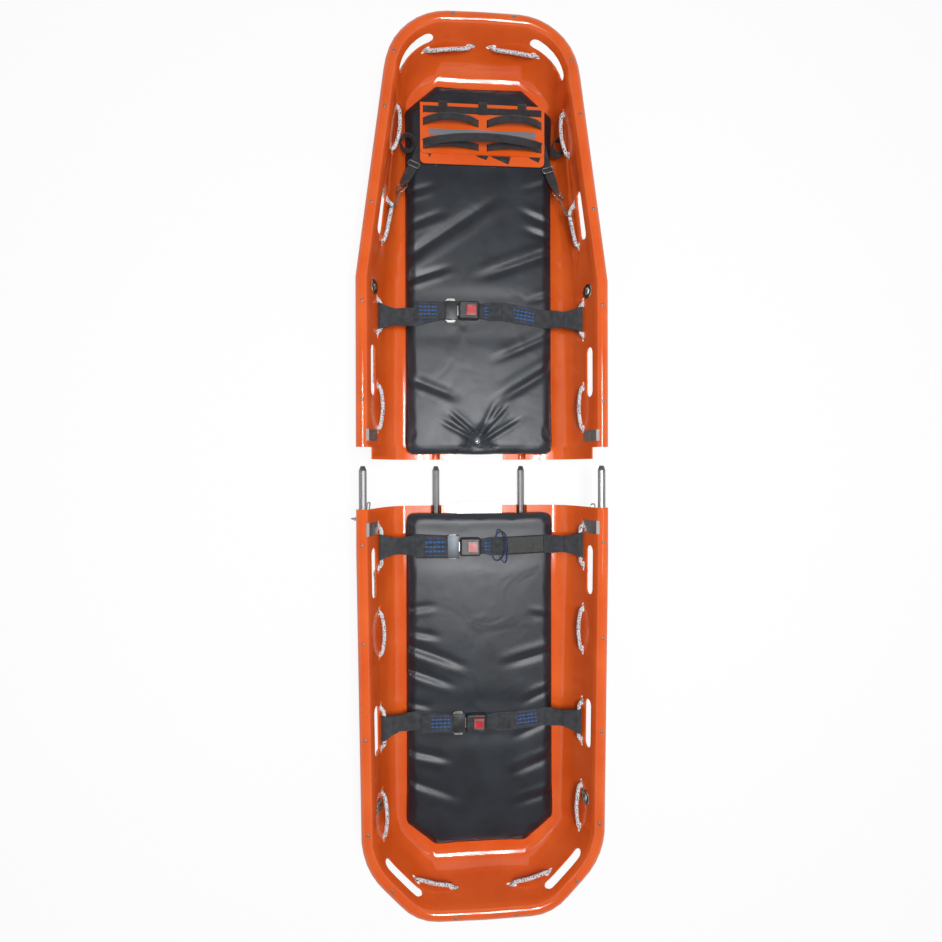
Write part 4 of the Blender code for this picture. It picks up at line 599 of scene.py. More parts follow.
def swell(pad, low, stud, pressure, growth, frames=18):
    group = pad.vertex_groups.new(name="held")
    for v in pad.data.vertices:
        if held(v.co, low, stud):
            group.add([v.index], 1.0, "ADD")
    cloth = pad.modifiers.new("cloth", "CLOTH")
    settings = cloth.settings
    settings.quality, settings.mass = 5, 0.25
    settings.tension_stiffness = settings.compression_stiffness = 18.0
    settings.shear_stiffness, settings.bending_stiffness = 6.0, 0.35
    settings.use_pressure, settings.uniform_pressure_force = True, pressure
    settings.shrink_min = -growth
    settings.vertex_group_mass = "held"
    settings.effector_weights.gravity = 0.0
    cloth.collision_settings.use_collision = False
    cloth.point_cache.frame_start, cloth.point_cache.frame_end = 1, frames
    scene = bpy.context.scene
    for frame_number in range(1, frames + 1):
        scene.frame_set(frame_number)
    before = [v.co.copy() for v in pad.data.vertices]
    applied(pad)
    scene.frame_set(1)
    return before


def keep_under(pad, before, cap, ceiling):
    """Cap how far each point moved, and keep it under what rests on the pad."""
    for v, old in zip(pad.data.vertices, before):
        move = v.co - old
        if move.length > cap:
            v.co = old + move * (cap / move.length)
        v.co.z = softly_under(v.co.z, ceiling(v.co))


def softly_under(height, limit, soft=0.0009):
    return limit - soft * math.log1p(math.exp(min((limit - height) / soft, 60.0)))


print("cover helpers ready")

# %% [markdown]
# The straps, the buckles and the footrest lie on the pads. Where they press,
# the cover is flat; between them it may rise a few millimetres more.


# %% What rests on the pads
pressed = []
for name in nodes:
    if name.endswith("_buckle") or name.startswith("footrest_lower") or "_webbing" in name:
        low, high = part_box(name)
        pressed.append((low - Vector((0.008, 0.008, 0)), high + Vector((0.008, 0.008, 0))))
pad_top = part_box("foot_pad")[1].z


def ceiling(co):
    away = 1.0
    for low, high in pressed:
        gap_x = max(low.x - co.x, 0.0, co.x - high.x)
        gap_y = max(low.y - co.y, 0.0, co.y - high.y)
        away = min(away, math.hypot(gap_x, gap_y) / 0.05)
    return pad_top - 0.0002 + 0.0030 * away * away * (3 - 2 * away)


print("pad top in mm:", round(1000 * pad_top, 1), "things that press:", len(pressed))

# %% Folds of the covers: start x and y, end x and y, depth and half width, in mm
foot_low, foot_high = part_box("foot_pad")
stud_place = Vector((-0.0055, foot_low.y + 0.0385, foot_high.z))
folds = {
    "foot_pad": [
        (-200, 569, 45, 738, 5.5, 14), (-200, 508, -80, 548, 4.0, 9), (203, 592, 0, 518, 5.5, 12),
        (203, 628, 120, 655, 3.2, 9), (203, 668, 110, 705, 3.2, 9), (-200, 655, -90, 700, 3.0, 10),
        (203, 365, 40, 292, 4.5, 10), (203, 273, 50, 180, 6.0, 13), (-180, 240, -55, 190, 5.0, 13),
        (203, 475, 130, 455, 3.5, 8), (-200, 745, -120, 770, 3.0, 9), (200, 790, 120, 760, 3.0, 9),
        (-14, 90, -85, 152, 6.0, 5.5), (-26, 82, -110, 128, 5.0, 6), (4, 92, 75, 172, 6.5, 5.5),
        (16, 80, 112, 138, 5.0, 6), (1, 96, 46, 185, 4.0, 8)],
    "head_pad": [
        (-200, -483, -40, -545, 5.0, 11), (-200, -548, -70, -597, 4.5, 10),
        (-200, -445, -110, -462, 3.0, 9), (203, -508, 60, -545, 4.5, 11),
        (203, -612, 110, -652, 4.5, 9), (203, -700, 90, -745, 5.0, 10),
        (-200, -640, -130, -655, 3.0, 8), (-200, -770, -80, -800, 4.5, 10),
        (203, -800, 80, -845, 4.5, 11), (-200, -850, -60, -905, 4.0, 11),
        (200, -900, 90, -930, 3.5, 10), (-200, -385, -120, -375, 2.5, 9),
        (203, -420, 130, -405, 2.5, 9)],
}
print("folds:", {name: len(rows) for name, rows in folds.items()})

# %% Make the two covers
covers = {}
for name, body, stud in (("foot_pad", "foot_half", stud_place), ("head_pad", "head_half", None)):
    low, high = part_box(name)
    pad = remeshed_copy(name, 0.0064, 0.03)
    if stud:
        press_stud(pad, stud)
    before = swell(pad, low, stud, 1.2, 0.006)
    keep_under(pad, before, 0.0024, ceiling)
    for fold in folds[name]:
        x0, y0, x1, y1, depth, wide = (value / 1000 for value in fold)
        add_fold(pad, (x0, y0), (x1, y1), depth, wide, high.z)
    for v in pad.data.vertices:
        v.co.z = softly_under(v.co.z, ceiling(v.co))
    pad.data.materials.clear()
    pad.data.materials.append(pad_vinyl)
    pad.data.shade_smooth()
    smoother = pad.modifiers.new("finer", "SUBSURF")
    smoother.levels = smoother.render_levels = 1
    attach(pad, body)
    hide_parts(name)
    covers[name] = pad
    print(name, "faces:", len(pad.data.polygons))

# %% [markdown]
# The foot pad's end is held down by a chrome stud through a bell-shaped tab. The
# tab is a flat grid cut to that outline, laid on the cover by casting a ray
# straight down from each of its points, with a thin welt round its edge.

# %% Tab and stud
def top_of(piece):
    tree_of_faces = BVHTree.FromObject(piece, bpy.context.evaluated_depsgraph_get())

    def height(x, y, fallback):
        hit = tree_of_faces.ray_cast(Vector((x, y, 0.3)), Vector((0, 0, -1)))[0]
        return hit.z if hit else fallback

    return height


def bell_half_width(share):
    """Half width of the tab, from its base (0) to the top of its round head (1)."""
    if share < 0.45:
        t = share / 0.45
        return 0.060 + (0.0275 - 0.060) * t * t * (3 - 2 * t)
    t = (share - 0.45) / 0.55
    return 0.0275 * math.sqrt(max(0.0, 1 - t ** 2.6))


def on_tab(share, side, lift, least=0.001):
    """A point of the tab at a share of its length and -1 to 1 across it, laid on the cover."""
    x = stud_place.x + side * max(bell_half_width(share), least)
    y = base_y + (head_y - base_y) * share
    return Vector((x, y, foot_top(x, y, stud_place.z - 0.012) + lift))


foot_top = top_of(covers["foot_pad"])
base_y, head_y = foot_low.y + 0.0035, stud_place.y + 0.0265
bm = bmesh.new()
for v, column, row in flat_grid(bm, 24, 24):
    v.co = on_tab(row / 24, 2 * column / 24 - 1, 0.0009)
tab = new_piece("pad_tab", bm, pad_vinyl, "foot_half")
solid = tab.modifiers.new("thickness", "SOLIDIFY")
solid.thickness, solid.offset = 0.0014, 1.0

rim_line = [on_tab(k / 16, -1, 0.0018, least=0.0005) for k in range(17)]
rim_line += [on_tab(k / 16, 1, 0.0018, least=0.0005) for k in range(15, -1, -1)]
welt_line = smooth_line(rim_line, 0.003)
bm = bmesh.new()
wrap_tube(bm, welt_line, [0.0011] * len(welt_line), sides=8)
close_holes(bm)
welt = new_piece("pad_tab_welt", bm, pad_vinyl, "foot_half")
print("tab and welt made")


# %% Spin the stud
def spin_profile(bm, profile, place, steps, up=Vector((0, 0, 1))):
    """Spin a profile of radii and heights round its axis, and stand it at a place."""
    before = set(bm.verts)
    rows = [bm.verts.new((r, 0, z)) for r, z in profile]
    edges = [bm.edges.new(pair) for pair in zip(rows, rows[1:])]
    bmesh.ops.spin(bm, geom=rows + edges, cent=(0, 0, 0), axis=(0, 0, 1), angle=2 * math.pi,
                   steps=steps, use_merge=True)
    turn = Vector((0, 0, 1)).rotation_difference(up).to_matrix().to_4x4()
    bmesh.ops.transform(bm, matrix=Matrix.Translation(place) @ turn, verts=list(set(bm.verts) - before))


chrome = worn_finish("chrome plate", "#D9DCDE", 0.08, 900.0, 3.0, rough=(0.05, 0.16), metallic=1.0)
stud_z = foot_top(stud_place.x, stud_place.y, stud_place.z - 0.015) + 0.0012
stud_profile = [(0.0075, 0.0), (0.0078, 0.0006), (0.0074, 0.0014), (0.0058, 0.0019), (0.0052, 0.0022),
                (0.0046, 0.0042), (0.0028, 0.0056), (0.0, 0.0061)]
bm = bmesh.new()
spin_profile(bm, stud_profile, Vector((stud_place.x, stud_place.y, stud_z)), 32)
merge_close(bm)
close_holes(bm)
stud = new_piece("pad_stud", bm, chrome, "foot_half")
print("stud at height in mm:", round(1000 * stud_z, 1))

# %% [markdown]
# ## Webbing
#
# The cross straps are 50 mm polyester webbing, about 2 mm thick, with ribs along
# its length and a fine herringbone weave. Its threads lie about 1 mm apart, which
# is finer than one pixel of the picture, so the ribs are drawn 2.5 mm apart. Blue
# tracer threads are woven in where an attribute of the band says so. A band keeps
# its own flat coordinates as UVs, in metres.

# %% Woven polyester
def phase(tree, source, length):
    """The angle of a wave that repeats once in each length."""
    return maths(tree, "MULTIPLY", source, 2 * math.pi / length)


def webbing_material(name, dark, light, tracer_colour):
    material, tree, shader = new_material(name, dark, 0.74, ior=1.55)
    axes = axes_of(tree, "UV")
    zigzag = maths(tree, "SINE", phase(tree, axes["X"], 0.0025))
    weave = maths(tree, "SINE", maths(tree, "ADD", phase(tree, axes["Y"], 0.0018), zigzag))
    tone = ramp(tree, noise_at(tree, 60.0, 5.0), (0.32, dark), (0.72, light))
    colour = add_node(tree, "MixRGB", {"Fac": tracer_mask(tree, axes), "Color1": tone,
                                       "Color2": to_linear(tracer_colour)})
    fill_inputs(tree, shader, {"Sheen Weight": 0.15, "Base Color": colour,
                               "Normal": bumps(tree, maths(tree, "ADD", weave, zigzag), 0.5, 0.0004)})
    return material


def tracer_mask(tree, axes):
    """Three thin lines along the band, broken into dashes, where the band's attribute is 1."""
    marked = add_node(tree, "Attribute", attribute_name="tracer").outputs["Fac"]
    line = phase(tree, axes["X"], 0.010)
    thin = maths(tree, "GREATER_THAN", maths(tree, "COSINE", line), 0.45)
    beat = maths(tree, "SINE", maths(tree, "ADD", phase(tree, axes["Y"], 0.011), line))
    both = maths(tree, "MULTIPLY", thin, maths(tree, "GREATER_THAN", beat, -0.45))
    return maths(tree, "MULTIPLY", both, marked)


webbing_weave = webbing_material("woven polyester webbing", "#202327", "#3A3E43", "#1F62B0")
narrow_weave = webbing_material("narrow woven polyester tape", "#16171A", "#2A2C30", "#1F62B0")
print("finishes:", webbing_weave.name, "and", narrow_weave.name)

# %% [markdown]
# A band is laid on the line of its CAD solid, so it lies where the solid lies.
# The line is cut into short equal steps and smoothed a little. Where the strap
# turns round the rope it fans out wider than it is and gathers in small pleats.


# %% An even line through the route's points
def even_line(points, step=0.0025, passes=3):
    line = cut_evenly(points, step)
    for _ in range(passes):
        line = [line[0]] + [(a + 2 * b + c) / 4 for a, b, c in zip(line, line[1:], line[2:])] + [line[-1]]
    return line


print("helper ready: even_line")

# %% [markdown]
# The route repeats the CAD strap's: from a short stack beside the rope, round
# the rope, down to the pad's shoulder and over the pad's crown to the buckle.


# %% Route of a cross strap
pad_crest = 0.0663                       # height of the pads' middle
web_thick = 0.002


def web_point(x, y, lift=0.0):
    crown = 0.002 * min(1.0, abs(x) / 0.1815) ** 2
    return Vector((x, y, pad_crest - crown + 0.0006 + web_thick / 2 + lift))


def from_rope(anchor, side, y):
    """Stack, loop round the rope, run and shoulder, at one side."""
    shoulder = Vector((side * 0.186, anchor.y + (y - anchor.y) * 0.35, web_point(0.186, y).z + 0.0028))
    u = (shoulder - anchor).normalized()
    v = Vector((side * u.z, 0.0, -side * u.x)).normalized()
    v = -v if v.z < 0 else v
    points = [anchor + u * 0.046 - v * 0.0012, anchor + u * 0.022 - v * 0.0002]
    for degrees in range(60, 301, 20):
        a = math.radians(degrees)
        points.append(anchor + (u * math.cos(a) + v * math.sin(a)) * 0.0065)
    points += [anchor + u * 0.022 - v * 0.0025, anchor + u * 0.046 - v * 0.0035]
    on_pad = web_point(side * 0.176, anchor.y + (y - anchor.y) * 0.42, 0.0004)
    return points + [shoulder + Vector((side * 0.006, 0, 0.0035)), on_pad]


def left_route(anchor, y, tongue_x):
    points = from_rope(anchor, -1, y)
    start = points[-1]
    for share in (0.3, 0.6):
        x = start.x + (tongue_x - 0.02 - start.x) * share
        points.append(web_point(x, start.y + (y - start.y) * share))
    points += [web_point(tongue_x - 0.012, y), web_point(tongue_x, y)]
    bar = Vector((tongue_x + 0.007, y, web_point(tongue_x, y).z + 0.003))
    points += [bar + Vector((math.cos(a), 0, math.sin(a))) * 0.003 for a in (-1.57, -0.78, 0.0, 0.78, 1.57)]
    points.append(web_point(tongue_x, y, 0.006))
    return points + [web_point(tongue_x - back, y, 0.0026) for back in (0.014, 0.045, 0.085)]


def right_route(anchor, y, tongue_x, rear):
    points = from_rope(anchor, 1, y)
    start = points[-1]
    stops = ((tongue_x + 0.157, 0.0), (tongue_x + 0.122, 0.001), (rear + 0.010, 0.001),
             (rear - 0.008, 0.0022))
    for x, lift in stops:
        share = (start.x - x) / (start.x - tongue_x - 0.157)
        points.append(web_point(x, start.y + (y - start.y) * min(1.0, share), lift))
    return points


print("helpers ready: left_route, right_route")


# %% Lay a band
def lay_band(bm, line, across, widths, columns=12, pleats=None, tracer_at=()):
    """Grid laid flat along a line. across is one direction; widths and pleats go with the line's points."""
    uv = bm.loops.layers.uv.verify()
    marks = bm.verts.layers.float.get("tracer") or bm.verts.layers.float.new("tracer")
    steps = [0.0]
    for a, b in zip(line, line[1:]):
        steps.append(steps[-1] + (b - a).length)
    places = {}
    for v, column, row in flat_grid(bm, columns, len(line) - 1):
        side = column / columns - 0.5
        tangent = tangent_at(line, row)
        direction = across[row] if isinstance(across, list) else across
        wide = (direction - tangent * direction.dot(tangent)).normalized()
        up = tangent.cross(wide)
        pleat = pleats[row] * math.cos(side * 6 * math.pi) * up.z if pleats else 0.0
        v.co = line[row] + wide * (side * widths[row]) + up * pleat
        v[marks] = 1.0 if any(a <= v.co.x <= b for a, b in tracer_at) and abs(side) < 0.34 else 0.0
        places[v] = (side * 0.05, steps[row])
    lay_uvs(bm, uv, places)
    return steps[-1]


def thicken(piece, thickness):
    solid = piece.modifiers.new("thickness", "SOLIDIFY")
    solid.thickness, solid.offset = thickness, 0.0


print("helper ready: lay_band")


# %% [markdown]
# Each cross strap has two lengths of webbing. The left one runs from the rope to
# the tongue, round its bar and back; the right one runs from the rope to the
# buckle, where it is doubled and sewn.

# %% Lay the cross straps
straps = {
    "strap_1": dict(body="foot_half", anchor=(0.2649, 0.3965, 0.1247),
                    left=[(-0.165, -0.118)], right=[(0.095, 0.150), (0.012, 0.026)]),
    "strap_2": dict(body="head_half", anchor=(0.2650, -0.2080, 0.1247),
                    left=[(-0.150, -0.094)], right=[(0.010, 0.026)]),
    "strap_3": dict(body="head_half", anchor=(0.2595, -0.6824, 0.1245),
                    left=[(-0.135, -0.080)], right=[(0.100, 0.155)]),
}


def ease_in(value, start, length=0.02):
    return min(1.0, max(0.0, (value - start) / length))


def fan_widths(line, flat_widths, reach_x):
    """The band fans out and pleats where it turns round the rope, and is drawn in beside it."""
    widths, pleats = [], []
    for point, width in zip(line, flat_widths):
        d = reach_x - abs(point.x)
        fan, neck = math.exp(-(d / 0.020) ** 2), math.exp(-((d - 0.048) / 0.016) ** 2)
        widths.append(width + 0.019 * fan - 0.006 * neck)
        pleats.append(0.0012 * math.exp(-(d / 0.034) ** 2))
    return widths, pleats


for strap, facts in straps.items():
    tongue_low, tongue_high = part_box(strap + "_tongue")
    facts["y"] = y = (tongue_low.y + tongue_high.y) / 2
    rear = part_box(strap + "_buckle")[1].x
    x, anchor_y, z = facts["anchor"]
    broader = 0.012 if strap == "strap_2" else 0.0
    for side in ("left", "right"):
        name = strap + "_webbing_" + side
        low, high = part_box(name)
        if side == "left":
            line = even_line(left_route(Vector((-x, anchor_y, z)), y, tongue_low.x))
            flat_widths = [0.050 + broader * ease_in(p.x, -0.195) for p in line]
        else:
            line = even_line(right_route(Vector((x, anchor_y, z)), y, tongue_low.x, rear))
            flat_widths = [0.042 + 0.008 * ease_in(p.x, rear + 0.010) for p in line]
        widths, pleats = fan_widths(line, flat_widths, max(abs(low.x), abs(high.x)))
        bm = bmesh.new()
        flat_length = lay_band(bm, line, Vector((0, 1, 0)), widths, pleats=pleats, tracer_at=facts[side])
        band = new_piece(name + "_band", bm, webbing_weave, facts["body"], recalc=False)
        thicken(band, 0.0019)
        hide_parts(name)
        facts[side + "_line"] = line
        print(name, "length in mm:", round(1000 * flat_length), "rows:", len(line))


# %% Bend a closed wire or cord
def closed_wire(name, points, radius, material, body):
    line = even_line(points, 0.0015, passes=1)
    line[-1] = line[0].copy()
    bm = bmesh.new()
    wrap_tube(bm, line, [radius] * len(line), sides=8)
    piece = new_piece(name, bm, material, body)
    return piece


print("helper ready: closed_wire")

# %% [markdown]
# ## Buckles
#
# The buckle's body and its button keep their CAD meshes. They are moulded ABS:
# the body black with a fine grain, the button red and smooth. The middle one has
# faded in the sun to a dusty pink. A thin raised border frames each button.

# %% Moulded ABS
def moulded_abs(name, hex_colour, worn_colour, roughness):
    material, tree, shader = new_material(name, hex_colour, roughness, ior=1.54)
    fill_inputs(tree, shader, {
        "Base Color": ramp(tree, noise_at(tree, 55.0, 4.0), (0.45, hex_colour), (0.80, worn_colour)),
        "Normal": bumps(tree, noise_at(tree, 1800.0, 1.0), 0.25, 0.0002)})
    return material


black_abs = moulded_abs("black moulded ABS", "#1A1B1D", "#3C3E41", 0.42)
red_abs = moulded_abs("red moulded ABS", "#C4121C", "#D8303A", 0.34)
faded_abs = moulded_abs("sun-faded red ABS", "#C8646A", "#D89A9C", 0.5)
border_abs = moulded_abs("grey moulded ABS", "#5A5458", "#8A8286", 0.45)
faded_border = moulded_abs("faded grey ABS", "#8C8780", "#A6A098", 0.55)
for strap in straps:
    finish_node(strap + "_buckle", black_abs)
    finish_node(strap + "_button", faded_abs if strap == "strap_2" else red_abs)
print("finishes:", black_abs.name, red_abs.name, faded_abs.name)


# %% Frame round each button
def round_edges(bm, edges, soft, segments):
    bmesh.ops.bevel(bm, geom=edges, affect="EDGES", offset=soft, segments=segments, profile=0.5, material=-1)


def framed(bm, low, high, wall, height):
    """A flat rectangle, inset to a frame, with the frame raised and its edges softened."""
    bmesh.ops.create_grid(bm, x_segments=1, y_segments=1, size=0.5)
    bmesh.ops.scale(bm, vec=(high.x - low.x, high.y - low.y, 1.0), verts=bm.verts)
    bmesh.ops.translate(bm, vec=((low.x + high.x) / 2, (low.y + high.y) / 2, high.z), verts=bm.verts)
    bm.faces.ensure_lookup_table()
    middle = bm.faces[0]
    bmesh.ops.inset_region(bm, faces=[middle], use_boundary=True, use_even_offset=True, thickness=wall)
    bmesh.ops.delete(bm, geom=[middle], context="FACES")
    made = bmesh.ops.extrude_face_region(bm, geom=bm.faces[:])["geom"]
    raised = [g for g in made if isinstance(g, bmesh.types.BMVert)]
    bmesh.ops.translate(bm, vec=(0, 0, height), verts=raised)
    bmesh.ops.recalc_face_normals(bm, faces=bm.faces)
    sharp = [e for e in bm.edges if len(e.link_faces) == 2 and e.calc_face_angle() > 0.6]
    round_edges(bm, sharp, height * 0.35, 2)


for strap in straps:
    low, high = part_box(strap + "_button")
    bm = bmesh.new()
    framed(bm, low + Vector((0.0011, 0.0011, 0)), high - Vector((0.0011, 0.0011, 0.0002)), 0.0042, 0.0008)
    finish = faded_border if strap == "strap_2" else border_abs
    frame_piece = new_piece(strap + "_button_border", bm, finish, strap + "_button", recalc=False)
print("button borders made")

# %% [markdown]
# The tongue is a steel plate. Over its middle sits a folded cover that keeps the
# webbing flat, black on two of the straps and bare satin steel on the middle one.
# Only the plate's ends show past it, polished by use.


# %% Covers of the tongues
satin_steel = worn_finish("satin steel plate", "#55595D", 0.42, (900.0, 40.0, 40.0), 3.0,
                          rough=(0.34, 0.58), metallic=1.0)


def soft_box(bm, low, high, soft, segments=3):
    made = bmesh.ops.create_cube(bm, size=1.0)["verts"]
    size, middle = high - low, (low + high) / 2
    for v in made:
        v.co = Vector((v.co.x * size.x, v.co.y * size.y, v.co.z * size.z)) + middle
    edges = list({e for v in made for e in v.link_edges})
    round_edges(bm, edges, soft, segments)


for strap, facts in straps.items():
    low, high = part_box(strap + "_tongue")
    y, half = facts["y"], 0.0315 if strap == "strap_2" else 0.0255
    x0, x1, top = low.x + 0.0008, low.x + 0.0325, high.z + 0.0046
    bm = bmesh.new()
    soft_box(bm, Vector((x0, y - half, high.z + 0.0026)), Vector((x1, y + half, top)), 0.0008)
    for end in (-1, 1):
        a, b = sorted((y + end * half, y + end * (half - 0.0022)))
        soft_box(bm, Vector((x0, a, high.z + 0.0004)), Vector((x1, b, top)), 0.0007)
    cover = new_piece(strap + "_tongue_cover", bm, satin_steel if strap == "strap_2" else black_abs,
                      facts["body"], recalc=False)
print("tongue covers made")

# %% [markdown]
# Behind the buckle the webbing is doubled and sewn with a box of thread. Each
# stitch is a small rounded bar lying on the webbing.


# %% Sewn boxes
thread_black = worn_finish("bonded nylon thread", "#0D0E10", 0.6, 900.0, 1.0, rough=(0.5, 0.75), ior=1.53)


def stitch_row(bm, start, end, long=0.0032, thick=0.0008, gap=0.0012):
    along = (end - start).normalized()
    turn = Matrix.Rotation(math.atan2(along.y, along.x), 3, "Z")
    count = max(1, int((end - start).length / (long + gap)))
    for k in range(count):
        middle = start + along * ((long + gap) * (k + 0.5))
        made = bmesh.ops.create_uvsphere(bm, u_segments=6, v_segments=4, radius=thick)["verts"]
        bmesh.ops.scale(bm, vec=(long / 2 / thick, 1.0, 0.6), verts=made)
        bmesh.ops.rotate(bm, cent=(0, 0, 0), matrix=turn, verts=made)
        bmesh.ops.translate(bm, vec=middle, verts=made)


def sewn_box(name, body, x0, x1, y, half, z):
    bm = bmesh.new()
    a, b, c, d = (Vector((x, y + end * half, z)) for x, end in ((x0, -1), (x1, -1), (x1, 1), (x0, 1)))
    for start, end in ((a, b), (b, c), (c, d), (d, a), (a, c), (b, d)):
        stitch_row(bm, start, end)
    box = new_piece(name, bm, thread_black, body, recalc=False)


for strap, facts in straps.items():
    left_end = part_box(strap + "_tongue")[0].x
    x0, x1 = left_end + 0.122, left_end + 0.157
    top = max(p.z for p in facts["right_line"] if x0 < p.x < x1)
    sewn_box(strap + "_sewn_box", facts["body"], x0 + 0.002, x1 - 0.002, facts["y"], 0.019, top + 0.0014)
print("sewn boxes made")

# %% [markdown]
# The middle strap has seen more use than the others. A worn rubber sleeve covers
# its right part, and two loops of thin dark cord are tied round the strap beside
# the buckle.

# %% Worn sleeve and cord loops
worn_rubber = worn_finish("worn rubber sleeve", "#25262A", 0.46, 75.0, 6.0, rough=(0.5, 0.7),
                          tones=((0.42, "#0E0F11"), (0.78, "#383631")), dents=(0.5, 0.0008),
                          ior=1.52, distortion=0.6)
cord_blue = worn_finish("dark blue polyester cord", "#1B2140", 0.7, 420.0, 1.0,
                        tones=((0.4, "#14161F"), (0.62, "#2A3A78")), ior=1.55)

sleeve_line = [p + Vector((0, 0, 0.0022)) for p in straps["strap_2"]["right_line"] if 0.072 < p.x < 0.178]
ring_middle, ring_radius = Vector((0.135, sleeve_line[0].y)), 0.009
bm = bmesh.new()
lay_band(bm, sleeve_line, Vector((0, 1, 0)), [0.049] * len(sleeve_line), columns=10)
for v in bm.verts:
    from_ring = (v.co.xy - ring_middle).length - ring_radius
    v.co.z += 0.0008 * math.exp(-(from_ring / 0.0025) ** 2)
sleeve = new_piece("strap_2_sleeve", bm, worn_rubber, "head_half", recalc=False)
thicken(sleeve, 0.0014)

middle_y = straps["strap_2"]["right_line"][-1].y
cords = ((0.052, 0.006, 0.019, 0.040), (0.059, -0.008, 0.012, 0.046))   # x, lean, half width, half length
for number, (x, lean, half_x, half) in enumerate(cords, 1):
    points = []
    for k in range(25):
        a = 2 * math.pi * k / 24
        height = max(web_point(x, middle_y).z + 0.0015 + 0.0052 * math.cos(a), pad_crest + 0.0012)
        points.append(Vector((x + half_x * math.cos(a) + lean * math.sin(a), middle_y + half * math.sin(a),
                              height)))
    closed_wire(f"strap_2_cord_{number}", points, 0.0016, cord_blue, "head_half")
print("sleeve and cord loops made")

# %% [markdown]
# ## Footrest
#
# Two thin orange panels lie folded on the foot pad. Black 20 mm tape is threaded
# through slots in the upper one: a flat row that ties the hinge loops down, two
# low arches and one big loose arch, with a grey stiffening strip between them.

# %% Strip, and where the panels lie
rubber_strip = worn_finish("grey anodised strip", "#8B9197", 0.45, (8.0, 700.0, 8.0), 2.0,
                           rough=(0.36, 0.55), metallic=0.6)
finish_node("footrest_strip", rubber_strip)

rest_x, rest_y = 0.0085, 0.988
panel_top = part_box("footrest_upper")[1].z
lower_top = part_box("footrest_lower")[1].z
print("panel top in mm:", round(1000 * panel_top, 1))


# %% Tape threaded through the upper panel
def arch_line(x0, x1, y, low, rise, lean=0.0):
    points = []
    for k in range(17):
        t = -1 + k / 8
        height = rise * max(0.0, 1 - t * t) ** 0.8
        points.append(Vector((rest_x + x0 + (x1 - x0) * k / 16, y + lean * height, low + height)))
    return points


def tape_piece(name, lines, wide, body, slant=0.0):
    """Tape along each line; slant turns its two cut ends, as a diagonal slot does."""
    bm = bmesh.new()
    for line in lines:
        even = even_line(line, 0.003)
        across = []
        for point in even:
            from_end = min((point - even[0]).length, (point - even[-1]).length)
            turn = slant * max(0.0, 1 - from_end / 0.045) * (1 if point.x < even[len(even) // 2].x else -1)
            across.append(Vector((-turn, 1 - abs(turn) * 0.3, 0)).normalized())
        lay_band(bm, even, across, [wide] * len(even), columns=6)
    piece = new_piece(name, bm, narrow_weave, body, recalc=False)
    thicken(piece, 0.0013)
    return piece


def arch_pair(reach, y, rise):
    """Two arches side by side, with a small gap at the middle."""
    return [arch_line(x0, x1, y, base, rise) for x0, x1 in ((-reach, -0.014), (0.014, reach))]


base = panel_top + 0.0010
instep = tape_piece("footrest_instep_tape", arch_pair(0.160, rest_y - 0.053, 0.030), 0.020,
                    "footrest_upper")
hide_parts("footrest_instep_band")
big = tape_piece("footrest_cross_tape", [arch_line(-0.160, 0.160, rest_y - 0.112, base + 0.0006, 0.042)],
                 0.022, "footrest_upper", slant=0.8)
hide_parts("footrest_cross_band")
under = tape_piece("footrest_under_tape", arch_pair(0.158, rest_y - 0.118, 0.018), 0.018,
                   "footrest_upper")
hinge_row = [Vector((rest_x + x, rest_y - 0.019, base)) for x in (-0.160, 0.160)]
row = tape_piece("footrest_hinge_tape", [hinge_row], 0.018, "footrest_upper")
print("tapes:", [o.name for o in (instep, big, under, row)])

# %% Slots that the tapes go through
slot_dark = worn_finish("shadow in a punched slot", "#120B08", 0.9, 300.0, 2.0,
                        tones=((0.0, "#0C0705"), (1.0, "#1C120D")))
slots = [(side * x, back, wide) for x, back, wide in (
    (0.1605, 0.019, 0.020), (0.1605, 0.053, 0.022), (0.0125, 0.053, 0.022),
    (0.0125, 0.118, 0.020), (0.1605, 0.115, 0.024)) for side in (-1, 1)]
bm = bmesh.new()
for x, back, wide in slots:
    low = Vector((rest_x + x - 0.0013, rest_y - back - wide / 2, panel_top + 0.0001))
    soft_box(bm, low, low + Vector((0.0026, wide, 0.0003)), 0.0001, segments=1)
slot_piece = new_piece("footrest_slots", bm, slot_dark, "footrest_upper", recalc=False)
print("slots:", len(slots))

# %% [markdown]
# Three loops of doubled webbing hold the two panels together at their edge. Each
# wraps round both panels and round the flat row of tape.

# %% Hinge loops
# The route of a loop: distance in front of the hinge line, and height.
loop_route = ((-0.030, base + 0.0022), (-0.012, base + 0.0024), (-0.002, base + 0.0012),
              (0.0050, panel_top - 0.0005), (0.0064, 0.0735), (0.0046, 0.0698), (-0.002, 0.0682),
              (-0.014, 0.0682))
for number, x in enumerate((-0.108, 0.0, 0.108), 1):
    centre = Vector((rest_x + x, rest_y, 0))
    route = [Vector((centre.x, rest_y + forward, z)) for forward, z in loop_route]
    line = even_line(route, 0.0015, passes=2)
    bm = bmesh.new()
    lay_band(bm, line, Vector((1, 0, 0)), [0.024] * len(line), columns=6)
    loop = new_piece(f"footrest_loop_{number}", bm, narrow_weave, None, recalc=False)
    thicken(loop, 0.0014)
    applied(loop)
    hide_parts(f"footrest_ring_{number}")
    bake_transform(loop)
print("hinge loops made")

